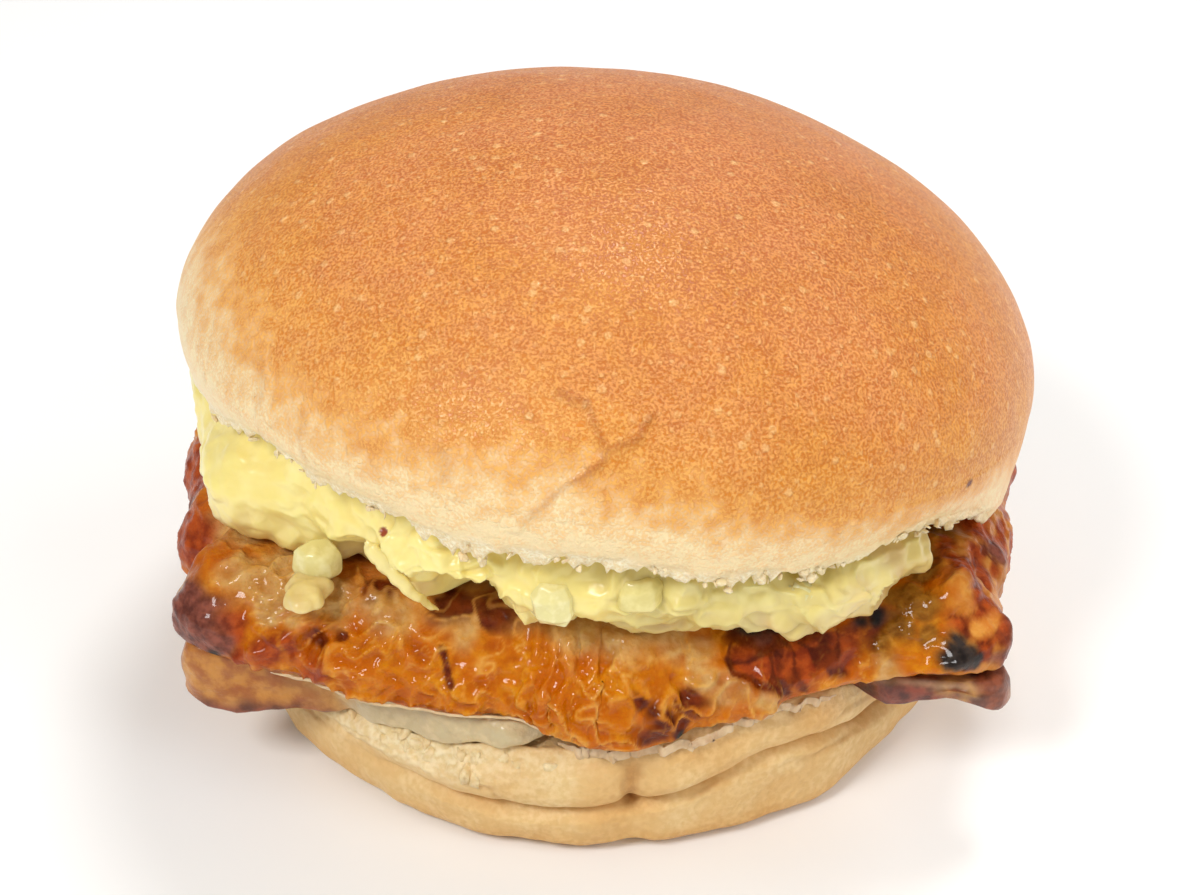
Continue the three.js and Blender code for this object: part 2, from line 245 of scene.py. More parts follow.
def hexColor(text):
    parts = [int(text[place:place + 2], 16) / 255 for place in (1, 3, 5)]
    linear = [
        part / 12.92 if part <= 0.04045 else ((part + 0.055) / 1.055) ** 2.4 for part in parts]
    return (*linear, 1)


def perSize(size):  # texture scale for a pattern whose real size is given in millimetres
    return 1 / (size * mm)


# Adds a node. Inputs are a list in the order of the shown sockets, or a dictionary by name, and
# each is a value or a socket to link. The first shown output comes back.
def addNode(tree, kind, settings=None, inputs=()):
    node = tree.nodes.new(kind)
    for name, value in (settings or {}).items():
        setattr(node, name, value)
    shown = [socket for socket in node.inputs if socket.enabled]
    named = isinstance(inputs, dict)
    for place, value in (inputs.items() if named else enumerate(inputs)):
        socket = node.inputs[place] if named else shown[place]
        if value is None:
            continue
        if isinstance(value, bpy.types.NodeSocket):
            tree.links.new(value, socket)
        else:
            socket.default_value = value
    return next((socket for socket in node.outputs if socket.enabled), None)


mixColor = {"data_type": "RGBA"}
plus = {"operation": "ADD"}
minus = {"operation": "SUBTRACT"}
times = {"operation": "MULTIPLY"}
over = {"operation": "DIVIDE"}
timesPlus = {"operation": "MULTIPLY_ADD"}
moreThan = {"operation": "GREATER_THAN"}
lessThan = {"operation": "LESS_THAN"}
softSteps = {"interpolation_type": "SMOOTHSTEP"}


def newMaterial(name, settings):
    material = bpy.data.materials.new(name)
    material.use_nodes = True
    tree = material.node_tree
    shader = tree.nodes["Principled BSDF"]
    for socket, value in settings.items():
        shader.inputs[socket].default_value = value
    where = addNode(tree, "ShaderNodeTexCoord").node.outputs["Object"]
    return material, tree, shader, where


# A field from 0 to 1 with spots of the size given, in millimetres
def mottle(tree, where, size, detail=3, low=0.35, high=0.65):
    field = addNode(tree, "ShaderNodeTexNoise", None, {
        "Vector": where, "Scale": perSize(size), "Detail": detail})
    return addNode(tree, "ShaderNodeMapRange", softSteps, [field, low, high])


# Lays a mottled pair of colours over the colour so far, where the share is 1
def layColor(tree, color, share, grain, dark, light):
    pair = addNode(tree, "ShaderNodeMix", mixColor, [grain, hexColor(dark), hexColor(light)])
    return addNode(tree, "ShaderNodeMix", mixColor, [share, color, pair])


# The same for each mask painted on the piece, with its darker and its lighter tone
def layTones(tree, color, grain, tones):
    for mask, (dark, light) in tones.items():
        share = addNode(tree, "ShaderNodeAttribute", {"attribute_name": mask}).node.outputs["Fac"]
        color = layColor(tree, color, share, grain, dark, light)
    return color


# Round spots with a reach in shares of their spacing, and a share of them left in
def blisters(tree, where, spacing, reach, kept):
    cells = addNode(tree, "ShaderNodeTexVoronoi", None, {
        "Vector": where, "Scale": perSize(spacing)}).node
    spot = addNode(tree, "ShaderNodeMapRange", softSteps, [
        cells.outputs["Distance"], reach, 0.5 * reach])
    lot = addNode(tree, "ShaderNodeSeparateColor", None, [cells.outputs["Color"]])
    chosen = addNode(tree, "ShaderNodeMath", lessThan, [lot, kept])
    return addNode(tree, "ShaderNodeMath", times, [spot, chosen])


def addBumps(tree, shader, layers):  # each layer is (field, height in millimetres, strength)
    normal = None
    for field, height, strength in layers:
        inputs = {"Height": field, "Distance": height * mm, "Strength": strength}
        if normal:
            inputs["Normal"] = normal
        normal = addNode(tree, "ShaderNodeBump", None, inputs)
    tree.links.new(normal, shader.inputs["Normal"])


# Soft white bun crust, washed and baked: satin golden brown where the oven's heat reached,
# cream where it did not, with a fine grain and small pale blisters.
def bakedCrust():
    material, tree, shader, where = newMaterial("softBunCrust", {
        "Roughness": 0.36, "IOR": 1.47, "Subsurface Weight": 0.08, "Subsurface Scale": 0.0012,
        "Subsurface Radius": (1.0, 0.5, 0.25),
    })
    bake = addNode(tree, "ShaderNodeAttribute", {"attribute_name": "bake"}).node.outputs["Fac"]
    grain = mottle(tree, where, 0.36, 4, 0.38, 0.62)
    cloud = mottle(tree, where, 14, 3, 0.3, 0.7)
    swell = mottle(tree, where, 2.2, 3, 0.3, 0.7)
    bake = addNode(tree, "ShaderNodeMath", timesPlus, [grain, 0.18, bake])
    bake = addNode(tree, "ShaderNodeMath", timesPlus, [swell, 0.16, bake])
    early = addNode(tree, "ShaderNodeMapRange", None, [bake, 0.17, 0.57])
    late = addNode(tree, "ShaderNodeMapRange", None, [bake, 0.5, 1.0])
    top = addNode(tree, "ShaderNodeMapRange", None, [bake, 0.92, 1.3])
    color = layColor(tree, hexColor("#f8e0ae"), early, grain, "#dc8826", "#f1b45c")
    color = layColor(tree, color, late, grain, "#b46018", "#e0963f")
    color = layColor(tree, color, top, grain, "#a6541c", "#d48644")
    warm = addNode(tree, "ShaderNodeMath", times, [cloud, late])
    warm = addNode(tree, "ShaderNodeMath", times, [warm, 0.4])
    color = layColor(tree, color, warm, grain, "#c8703e", "#e69c66")
    spots = blisters(tree, where, 2.6, 0.26, 0.5)
    specks = blisters(tree, where, 1.1, 0.36, 0.45)
    spots = addNode(tree, "ShaderNodeMath", timesPlus, [specks, 0.6, spots])
    spotted = addNode(tree, "ShaderNodeMath", times, [spots, early])
    spotted = addNode(tree, "ShaderNodeMath", times, [spotted, 0.45])
    color = layColor(tree, color, spotted, grain, "#eeb46c", "#f8cc8c")
    color = layTones(tree, color, grain, {
        # the crease pair is painted shade in the creases and wrinkles of the crown
        "crumb": ("#efd8a6", "#faeecd"), "crease": ("#b0601f", "#c07430"),
        "scorch": ("#5f2410", "#7a3216"),
    })
    tree.links.new(color, shader.inputs["Base Color"])
    addBumps(tree, shader, [(grain, 0.18, 0.5), (spots, 0.2, 0.5), (swell, 0.3, 0.3)])
    return material


# The lower half of the bun: barely browned crust, matt, floury cream with tan edges.
def paleCrust():
    material, tree, shader, where = newMaterial("paleBunCrust", {
        "Roughness": 0.6, "IOR": 1.45, "Subsurface Weight": 0.12, "Subsurface Scale": 0.0012,
        "Subsurface Radius": (1.0, 0.6, 0.3),
    })
    grain = mottle(tree, where, 0.9, 4, 0.3, 0.7)
    cloud = mottle(tree, where, 6, 3, 0.3, 0.7)
    color = layColor(tree, hexColor("#dfb87a"), cloud, grain, "#dfbd80", "#eccf99")
    color = layTones(tree, color, grain, {
        "bake": ("#cf9a54", "#dfb06c"), "crumb": ("#e2cb97", "#f2e2ba"),
        # the crease pair is painted shade in the seam, the crack and the crease lines
        "crease": ("#a8743a", "#bc8848"),
    })
    tree.links.new(color, shader.inputs["Base Color"])
    flour = mottle(tree, where, 3.5, 2, 0.3, 0.7)
    addBumps(tree, shader, [(grain, 0.25, 0.35), (flour, 0.3, 0.3)])
    return material


# Grilled chicken skin: wet with fat, so a clear gloss lies over amber skin that has shrunk in
# wrinkles, with tan meat, brick red folds and charred spots.
def grilledSkin():
    material, tree, shader, where = newMaterial("grilledChickenSkin", {
        "Roughness": 0.4, "IOR": 1.4, "Specular IOR Level": 0.03, "Subsurface Weight": 0.15,
        "Subsurface Scale": 0.0018, "Subsurface Radius": (1.0, 0.4, 0.1), "Coat Weight": 0.38,
        "Coat Roughness": 0.06,
    })
    grain = mottle(tree, where, 1.5, 4, 0.3, 0.7)
    cloud = mottle(tree, where, 5, 4)
    color = layColor(tree, hexColor("#bc5e00"), cloud, grain, "#c26800", "#d48810")
    color = layTones(tree, color, grain, {
        "tan": ("#c08740", "#d0a566"), "olive": ("#7e4a0e", "#9c661c"),
        # the valley pair is painted shade between the wrinkles
        "valley": ("#983e00", "#b25400"), "brick": ("#842e0a", "#b04c16"),
        # the mahogany pair is dark red-brown skin, and also painted shade in the pockets under the
        # sauce and in the pleat grooves
        "mahogany": ("#541a04", "#7a300a"), "maroon": ("#5a2c22", "#8e4f3e"),
        # the crest pair is a painted highlight along the wrinkle crests
        "crest": ("#d9932c", "#e8b45c"), "char": ("#1a1412", "#3a302b"),
    })
    tree.links.new(color, shader.inputs["Base Color"])
    pores = mottle(tree, where, 0.8, 3, 0.3, 0.7)
    addBumps(tree, shader, [(pores, 0.16, 0.45), (grain, 0.25, 0.4), (cloud, 0.4, 0.3)])
    return material


# Cooked thigh meat and soft fat: moist, pale grey-beige, browned where it stuck out over the heat.
def cookedMeat():
    material, tree, shader, where = newMaterial("cookedChickenMeat", {
        "Roughness": 0.4, "IOR": 1.42, "Subsurface Weight": 0.2, "Subsurface Scale": 0.0015,
        "Subsurface Radius": (1.0, 0.6, 0.25), "Coat Weight": 0.3, "Coat Roughness": 0.12,
    })
    grain = mottle(tree, where, 2.2, 5)
    color = layColor(tree, hexColor("#c4b188"), grain, grain, "#b9a074", "#d2bd92")
    color = layTones(tree, color, grain, {
        "tan": ("#b98440", "#cfa25a"), "brown": ("#9c4c0c", "#c27a20"),
        "maroon": ("#441612", "#84392a"), "edge": ("#c99f74", "#e0be96"),
    })
    tree.links.new(color, shader.inputs["Base Color"])
    strands = mottle(tree, where, 1.6, 4, 0.3, 0.7)
    addBumps(tree, shader, [(strands, 0.3, 0.4)])
    return material


# Thick egg sauce: opaque pale yellow emulsion with a moist gloss and soft light inside it.
def yellowSauce():
    material, tree, shader, where = newMaterial("yellowEggSauce", {
        "Roughness": 0.32, "IOR": 1.46, "Subsurface Weight": 0.25, "Subsurface Scale": 0.0025,
        "Subsurface Radius": (1.0, 0.85, 0.3), "Coat Weight": 0.2, "Coat Roughness": 0.15,
    })
    cloud = mottle(tree, where, 7, 3)
    color = layColor(tree, hexColor("#f6e48c"), cloud, cloud, "#f0d880", "#faea9a")
    color = layTones(tree, color, cloud, {
        "green": ("#d8c576", "#e9da90"), "thin": ("#c9a766", "#dfc68c"),
        "pepper": ("#7c2a12", "#99421c"),
    })
    tree.links.new(color, shader.inputs["Base Color"])
    lumps = mottle(tree, where, 2.2, 2, 0.3, 0.7)
    addBumps(tree, shader, [(lumps, 0.2, 0.25)])
    return material


# Raw diced onion: watery cut faces, pale, translucent and shiny.
def cutOnion():
    material, tree, shader, where = newMaterial("dicedOnion", {
        "Roughness": 0.22, "IOR": 1.36, "Subsurface Weight": 0.15, "Subsurface Scale": 0.0012,
        "Subsurface Radius": (1.0, 0.95, 0.5), "Coat Weight": 0.4, "Coat Roughness": 0.08,
    })
    fibre = mottle(tree, where, 1.4, 2, 0.3, 0.7)
    color = layColor(tree, hexColor("#e8de9c"), fibre, fibre, "#d8cc88", "#efe6ac")
    color = layTones(tree, color, fibre, {"coated": ("#d8c87a", "#e6d88e")})
    tree.links.new(color, shader.inputs["Base Color"])
    addBumps(tree, shader, [(fibre, 0.15, 0.3)])
    return material


crustMaterial = bakedCrust()
paleMaterial = paleCrust()
skinMaterial = grilledSkin()
meatMaterial = cookedMeat()
sauceMaterial = yellowSauce()
onionMaterial = cutOnion()
print("materials made")


def present(piece, material, slot, *nodes):  # finish and body, and hides the parts it replaces
    piece.data.materials.clear()
    piece.data.materials.append(material)
    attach(piece, "root")
    if nodes:
        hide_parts(*nodes)


# Bottom half of the bun

heel = {
    "baseRadius": 46, "footRadius": 49.2, "lowerRollRadius": 50.7, "creaseRadius": 48.9,
    "upperRollRadius": 51.8, "rimRadius": 50.2, "rimHeight": 20.5, "creaseHeight": 8.6,
    "cutHeight": 18.6, "seamDepth": 0.7, "crackAt": -85.6, "crackDepth": 0.6, "lineDepth": 0.4,
    # Places round the edge: degrees, height or depth, width in degrees
    "pressed": [(-135, 7.4, 15), (-113, 3.9, 11), (-95, 1.9, 8), (-43, 3.2, 10)],
    "lifted": [(-65, 0.9, 8)],
    "creaseSag": [(-62, 4.8, 15), (-101, -0.9, 6), (-130, -0.6, 12), (80, 2, 40)],
    "pinch": [(-86, 0.9, 3.5), (-101, 0.4, 4), (-42, 0.8, 9), (150, 0.6, 9)],
    "upperInset": [(-140, 1.3, 16), (-38, 1.2, 16)],
    "filledCrease": [(-132, 1.5, 20)],
    # Waves round the edge: waves a turn, height, start in degrees
    "swell": [(3, 0.35, 20), (7, 0.25, 75), (12, 0.12, 10)],
    "rimWaves": [(5, 0.2, 40), (9, 0.12, 100)],
    "segments": 640, "rows": [3, 6, 8, 12, 14, 12, 10, 12, 14, 8, 6, 6, 5, 2, 2],
    "creasePaths": [
        [(-21, -46.5, 13), (-17.9, -48.2, 12.4), (-13.6, -50.4, 11.6), (-12.6, -50, 9.4),
         (-10.6, -49.6, 8)],
        [(11.7, -49, 9.6), (18, -47, 12), (25.4, -44.1, 14.2), (32.2, -39.4, 15.2)],
        [(24, -45, 10.5), (31, -40, 10), (37, -34, 9)],
    ],
}


def heelRim(angle):
    level = heel["rimHeight"] - humps(angle, heel["pressed"]) + humps(angle, heel["lifted"])
    return level + waves(angle, heel["rimWaves"])


def heelShelf(angle):
    cut = heel["cutHeight"]
    return np.minimum(cut, blend(cut, heelRim(angle), 0.6))


def heelCrease(angle):
    return heel["creaseHeight"] + humps(angle, heel["creaseSag"])


def heelStations(angle):
    rim = heelRim(angle)
    crease = heelCrease(angle)
    pinch = humps(angle, heel["pinch"])
    edge = waves(angle, heel["swell"]) - pinch
    upper = heel["upperRollRadius"] - humps(angle, heel["upperInset"])
    shallow = humps(angle, heel["filledCrease"])
    foot, lower, rimRadius = heel["footRadius"], heel["lowerRollRadius"], heel["rimRadius"]
    cut = heel["cutHeight"]
    return [
        (0, 0),
        (heel["baseRadius"], 0),
        (foot - 0.6 + edge, 0.7 + pinch),
        (blend(foot, lower, 0.7) + edge, 2.8),
        (lower + edge, crease - 2.2),
        (heel["creaseRadius"] + edge + shallow, crease),
        (upper - 0.9 + edge, crease + 1.3),
        (upper + edge, crease + 3.6),
        (upper - 0.2 + edge, blend(crease, rim, 0.62)),
        (rimRadius + 0.5 + 0.5 * edge, rim - 1.8),
        (rimRadius - 0.4 + 0.3 * edge, rim),
        (rimRadius - 1.9, rim - 0.7),
        (rimRadius - 5, heelShelf(angle)),
        (rimRadius - 14, cut),
        (rimRadius / 2, cut),
        (0, cut),
    ]


def makeBunBottom():
    angles = anglesRound(heel["segments"], 0.4)
    piece = ringPiece("bunBottom", angles, heelStations(angles), heel["rows"])
    points = readPoints(piece)
    angle, z = turnOf(points), points[:, 2]
    outside = smooth(44, 48, reachOf(points)) * smooth(0, 1.5, z)
    left = humps(angle, [(-128, 1, 24)])
    crease = heelCrease(angle) + 0.35 * noise(points, 3, 4)
    apart = degreesApart(angle, heel["crackAt"])
    crack = hump(apart + 0.5 * noise(points, 2.5, 8), 0.5 + 0.06 * z)
    crack *= smooth(7, 9, z) * (1 - smooth(15.5, 18, z))
    seam = hump(z - crease, 0.45) * (0.6 + 0.4 * noise(points, 9, 3)) * (1 - 0.7 * left)
    lines = ridges(points, heel["creasePaths"], 0.55, 9)
    torn = hump(z - heelRim(angle) + 0.8, 1.6) * outside
    tornLeft = hump(z - heelRim(angle) + 1.5, 2.8) * outside * humps(angle, [(-118, 1, 20)])
    relief = 0.4 * noise(points, 9, 1) + 0.16 * noise(points, 3.2, 2) - heel["seamDepth"] * seam
    relief -= heel["crackDepth"] * crack + heel["lineDepth"] * lines
    relief += 0.2 * torn * noise(points, 1.4, 5)
    relief += tornLeft * (0.8 * np.abs(noise(points, 2.2, 5)) + 0.5 * noise(points, 1, 6))
    pushOut(piece, relief * outside)
    climb = smooth(1, 6, z) * (1 - smooth(14, 20, z))
    paint(piece, "bake", (0.9 - 0.6 * climb + 0.4 * noise(points, 7, 7)) * (1 - 0.55 * left))
    paint(piece, "crumb", np.maximum(0.9 * tornLeft, 0.3 * torn))
    # Painted shade along the seam under the upper roll, in the crack and in the crease lines
    paint(piece, "crease", 0.6 * seam + 0.8 * crack + 0.35 * lines)
    present(piece, paleMaterial, "bun_pale_crust", "bun_bottom")
    return piece


bunBottom = makeBunBottom()
print("bottom bun made")


# Sizes of the layer of sauce. The chicken below reads them too: its top is bare outside the sauce

sauce = {
    "middle": (-6, -5), "halfWidth": 49, "frontDepth": 43, "backDepth": 41, "bulge": 2.4,
    "crownReach": 50, "backInset": 6, "hollowLift": 0.031, "lumpHeight": 1.8,
    "smallLumpHeight": 1.2, "creaseHeight": 0.9,
    "edge": [
        (-131, -10, 15), (-84, -1.8, 7), (-50, 5.4, 15), (-34, 1.8, 10), (-165, -3.4, 10),
    ],
    "hollows": [(-104.5, 9, 6.5), (-123.5, 4.5, 4.5)],
    "drawnIn": [(-12, 4, 16)],
    "leftSide": [(179, 1.9, 13)],
    "edgeWaves": [(13, 0.35, 20), (21, 0.3, 80)],
    "rolls": [(19, 0.5, 0), (31, 0.4, 45)],
    "segments": 640, "rows": [4, 5, 6, 10, 14, 14, 14, 10, 4, 3],
    # Places: x, y, z and reach
    "plain": [(-5.5, -52, 43, 4.5)],
    "fleck": [(-25.9, -43.8, 47.3, 0.65)],
}


# The chicken: a slab with a square front, wrinkled skin, a rolled strip and burnt hollows

chicken = {
    "middle": (0, -2), "halfWidth": 58, "frontDepth": 49, "backDepth": 46, "underside": 22.9,
    "frontTop": 34.2, "frontTopAt": -45, "fallPerDepth": 0.05, "fallPerWidth": 0.02,
    "wrinkle": 0.55, "fineWrinkle": 0.4, "uprightWrinkle": 0.45, "ridgeHeight": 0.8,
    "dentDepth": 1.4, "pleatHeight": 3, "segments": 800,
    "rows": [2, 2, 3, 4, 4, 8, 9, 9, 9, 7, 8, 8, 10, 8, 3, 2],
    "sideClimbs": (0, 0.2, 0.42, 0.64, 0.84, 1), "topInsets": (1.8, 4.6, 8.5, 13.5),
    "edge": [
        (-170, -1.6, 7), (-156, -3.4, 3.6), (-147, 4.3, 7), (-132, -1.2, 8), (-117, -2, 8),
        (-105, -1.4, 7), (-87, 2.5, 9), (-57, -2.8, 12), (-40, 3.1, 6), (-22, -1.9, 9),
        (-9, -1.9, 7), (30, 1.2, 12), (62, -2.4, 14), (118, -2.8, 12), (150, 1, 10),
    ],
    "edgeWaves": [(15, 0.3, 10), (26, 0.25, 50)],
    "hang": [(-86, 2.4, 13), (-115, 0.7, 12), (-12, 0.8, 10)],
    "raised": [(-144, 1, 11), (-42, 1, 10)],
    "steeper": [(-24, 1.2, 10)],
    "lobe": [(-37, 2.8, 6)],
    "ridgePaths": [
        [(-45.3, -40.2, 25.2), (-42.3, -41.3, 27), (-39.2, -41.4, 28.7), (-36.7, -40.7, 30.5),
         (-35, -40.7, 31), (-33.2, -42.4, 29.5), (-33.5, -43.8, 27.2), (-34.7, -43.9, 24.3)],
        [(-2, -45.5, 33.2), (4.9, -45.8, 33), (9.8, -44, 32.1)],
        [(11, -44.5, 31.3), (14.7, -46.6, 29.1), (18.4, -48.4, 26.6), (23, -46.2, 23)],
        [(29.9, -44.5, 24.8), (33.7, -43.5, 24.8), (38, -43.3, 25.4), (42.3, -43.5, 26.4),
         (46.6, -42.9, 27.5)],
        [(18, -44, 30.5), (20.5, -46.5, 27), (22, -47.5, 25)],
        [(24, -43.5, 30.5), (24.5, -46.5, 26.5), (24, -47, 25)],
        [(29, -42.5, 30.5), (27.5, -45.5, 27), (25.5, -46.8, 25)],
    ],
    "dents": [
        (-35.8, -42.6, 28.6, 1.8), (21, -45.6, 28, 1.4), (25.6, -44.8, 28.6, 1.2),
        (30.5, -43.5, 27.6, 1.4),
    ],
    "swellings": [
        (-50.5, -37, 29, 4.6), (44, -42.4, 27, 2.6), (49.5, -38, 25, 4), (47, -36, 33, 5),
    ],
    "streak": [(-19.4, -45, 30.1), (-19, -45.8, 29.2), (-18.8, -46.4, 28.4), (-18.1, -47.6, 26.7)],
    # Places of each tone: x, y, z and reach
    "tan": [
        (-43.9, -35.2, 34.1, 4.5), (-40, -37.1, 33.2, 4), (-37.3, -40.2, 30.9, 2),
        (-41.2, -38.8, 31.3, 2.4), (-33, -40, 34.5, 4), (-26, -41.5, 33.5, 4), (-3, -45, 33.5, 3.5),
        (3, -45.5, 33.5, 4), (8, -45, 32.5, 3.5), (12, -46, 31, 2.6), (12.2, -48.4, 28.2, 2.2),
        (14.7, -48.9, 26.4, 3), (16.5, -47.7, 27.4, 2), (-45, -24, 35, 6),
        (-17, -43.5, 32.5, 3), (-38, -33, 35, 5), (36, -43.5, 25, 2.5), (-50, -22, 32, 2.4),
        (-54, -24, 29, 4), (-53, -31, 30, 3), (20, -48, 25.5, 2.4),
    ],
    "olive": [
        (40.5, -33.3, 32.5, 3), (42.7, -30, 32.8, 3), (40.5, -39, 31.6, 2.6),
        (38.1, -37.8, 32.1, 3), (37.4, -40.6, 29.6, 2.4), (43.5, -24, 33, 3),
        (35, -42.5, 29, 2.4), (40.5, -41.5, 29.5, 2),
    ],
    "brick": [
        (-45.7, -39.2, 28.4, 2.2), (-44.8, -40.1, 24.6, 2.4), (-41.2, -41.7, 26.8, 1.9),
        (-37.7, -42, 27.8, 2), (-35, -43.2, 25.5, 2), (18.5, -46, 28.6, 3),
        (21.5, -45.5, 28.4, 3.8), (25.5, -45, 28.4, 3.8), (29, -43.3, 28.6, 3.6),
        (47.5, -36.5, 31, 2.6), (46, -32, 33, 2.6), (48.4, -29, 31.7, 2.6), (50, -22, 33, 4),
        (-52, -30, 32, 3), (-55, -22, 30, 6), (-56, -8, 30, 9), (54, 0, 29, 10), (50, 20, 28, 12),
        (-50, 22, 28, 12), (10, 44, 28, 12), (50, -38, 25, 4),
    ],
    # Mahogany is dark red-brown skin; its patches under the sauce's edge are painted shade in the
    # pockets there
    "mahogany": [
        (4.8, -51.7, 27, 2), (7.3, -52.1, 25.6, 2.4), (9.8, -51.4, 23.8, 2.6),
        (6, -52.9, 22.8, 2.4), (11, -50.3, 26, 1.8), (-13, -41, 34, 4), (-18, -41, 34.5, 3.6),
        (-8.5, -41, 34, 3), (-34.6, -42.8, 29.2, 1.4), (40.5, -33, 31, 1.6), (24, -46.5, 27, 1.6),
        (-27, -38, 35.5, 3),
        (18, -42.5, 32, 4), (26, -42, 31.5, 3.6), (33, -41, 31.5, 3.6), (-48, 0, 33, 6),
        (30, 38, 30, 8), (-28, 38, 30, 8), (22, -45, 29, 1.8), (-32, -42.4, 30.6, 1),
        (46.5, -31, 33, 1.4), (50.5, -27, 30.5, 1.8),
    ],
    "maroon": [
        (-49.8, -37.7, 29.4, 4), (-51.7, -35.8, 30.5, 3.6), (-52, -37, 26.4, 4),
        (-48.6, -39, 26.6, 3), (-55, -30, 28, 3), (51, -30, 31, 2), (51.5, -24, 30, 2.6),
        (-56, -14, 27, 4),
        (50.8, -40, 26.4, 2.8), (51, -38.5, 24, 3), (51.8, -36.5, 28, 2.4), (48, -42, 22.6, 2.2),
        (42, -43.8, 24.4, 1.4), (38, -43.4, 24.6, 1), (19.5, -44, 30.8, 1.4),
    ],
    "char": [
        (43.6, -42.9, 27.8, 1.9), (45.4, -42.7, 27.9, 1.9), (44.5, -42, 29.2, 1.5),
        (42, -43.3, 27, 1.3), (47, -42.9, 27.4, 1.4), (34.6, -40.6, 32.2, 2),
        (18, -42.6, 31.8, 1.8), (21, -42.4, 32, 1.8), (31.5, -41, 32.2, 2.2),
        (-48.8, -38.9, 25, 1.2), (9.5, -51.4, 22.8, 1),
    ],
}
skinTones = ("tan", "olive", "brick", "mahogany", "maroon", "char")


def sauceBorder(angle):
    outline = roundedOutline(
        angle, sauce["halfWidth"], sauce["frontDepth"], sauce["backDepth"], 2.6, 2.4)
    return outline + humps(angle, sauce["edge"]) + waves(angle, sauce["edgeWaves"])


def besideSauce(x, y):
    dx, dy = x - sauce["middle"][0], y - sauce["middle"][1]
    return np.hypot(dx, dy) - sauceBorder(np.arctan2(dy, dx))


def chickenLevel(x, y):
    depth = chicken["fallPerDepth"] * (y - chicken["frontTopAt"])
    return chicken["frontTop"] - depth - chicken["fallPerWidth"] * x


def chickenTop(x, y):
    strip = (2.4 * hump(x - 47, 4.5) - 1.6 * hump(x - 40.5, 3)) * hump(y + 35, 9)
    middleHollow = 1.9 * hump(x - 16, 6) * hump(y + 44, 3.5)
    rightHollow = 2.2 * hump(x - 35, 4) * hump(y + 42, 6)
    knob = 1.6 * hump(x + 53, 5) * hump(y + 29, 8)
    bare = smooth(-0.5, 3.5, besideSauce(x, y))
    folds = 0.8 * np.sin(0.24 * x + 0.13 * y) * np.sin(0.2 * y - 0.05 * x + 1)
    return chickenLevel(x, y) + bare * (strip + knob + folds) - middleHollow - rightHollow


def chickenOutline(angle):
    outline = roundedOutline(
        angle, chicken["halfWidth"], chicken["frontDepth"], chicken["backDepth"], 2.6, 2.6)
    return outline + humps(angle, chicken["edge"]) + waves(angle, chicken["edgeWaves"])


def skinRidges(along, height):
    lean = along + 1.1 * np.sin(0.55 * height)
    return 0.6 * np.sin(0.95 * lean) + 0.4 * np.sin(0.61 * lean + 0.5 * height + 2)


def chickenHang(angle):
    return humps(angle, chicken["hang"]) - humps(angle, chicken["raised"])


def chickenStations(angle):
    middle = chicken["middle"]
    edge = chickenOutline(angle)
    facing = frontness(angle)
    hang = chickenHang(angle)
    lean = 3.6 + 4 * facing - humps(angle, chicken["steeper"])
    rolls = 0.3 + 0.7 * facing
    floor = chicken["underside"]
    low = floor - hang

    def topAt(radius):
        return chickenTop(*placeAt(middle, angle, radius))

    shoulder = topAt(edge - lean) - 0.9
    lobe = humps(angle, chicken["lobe"])
    stations = [
        (0, floor), (0.45 * edge, floor), (0.8 * edge, floor),
        (edge - 3.8, floor - 0.25 * hang), (edge - 0.9, low),
    ]
    for climb in chicken["sideClimbs"]:
        height = blend(low + 1.2, shoulder, climb)
        ridge = chicken["wrinkle"] * rolls * skinRidges(edge * angle, height)
        belly = 0.9 * math.sin(math.pi * climb)
        bulge = lobe * (1 - smooth(0.4, 0.75, climb))
        stations.append((edge - lean * climb ** 1.5 + belly + ridge + bulge, height))
    for inset in chicken["topInsets"]:
        stations.append((edge - lean - inset, topAt(edge - lean - inset)))
    stations += [(0.4 * edge, topAt(0.4 * edge)), (0, chickenLevel(*middle))]
    return stations


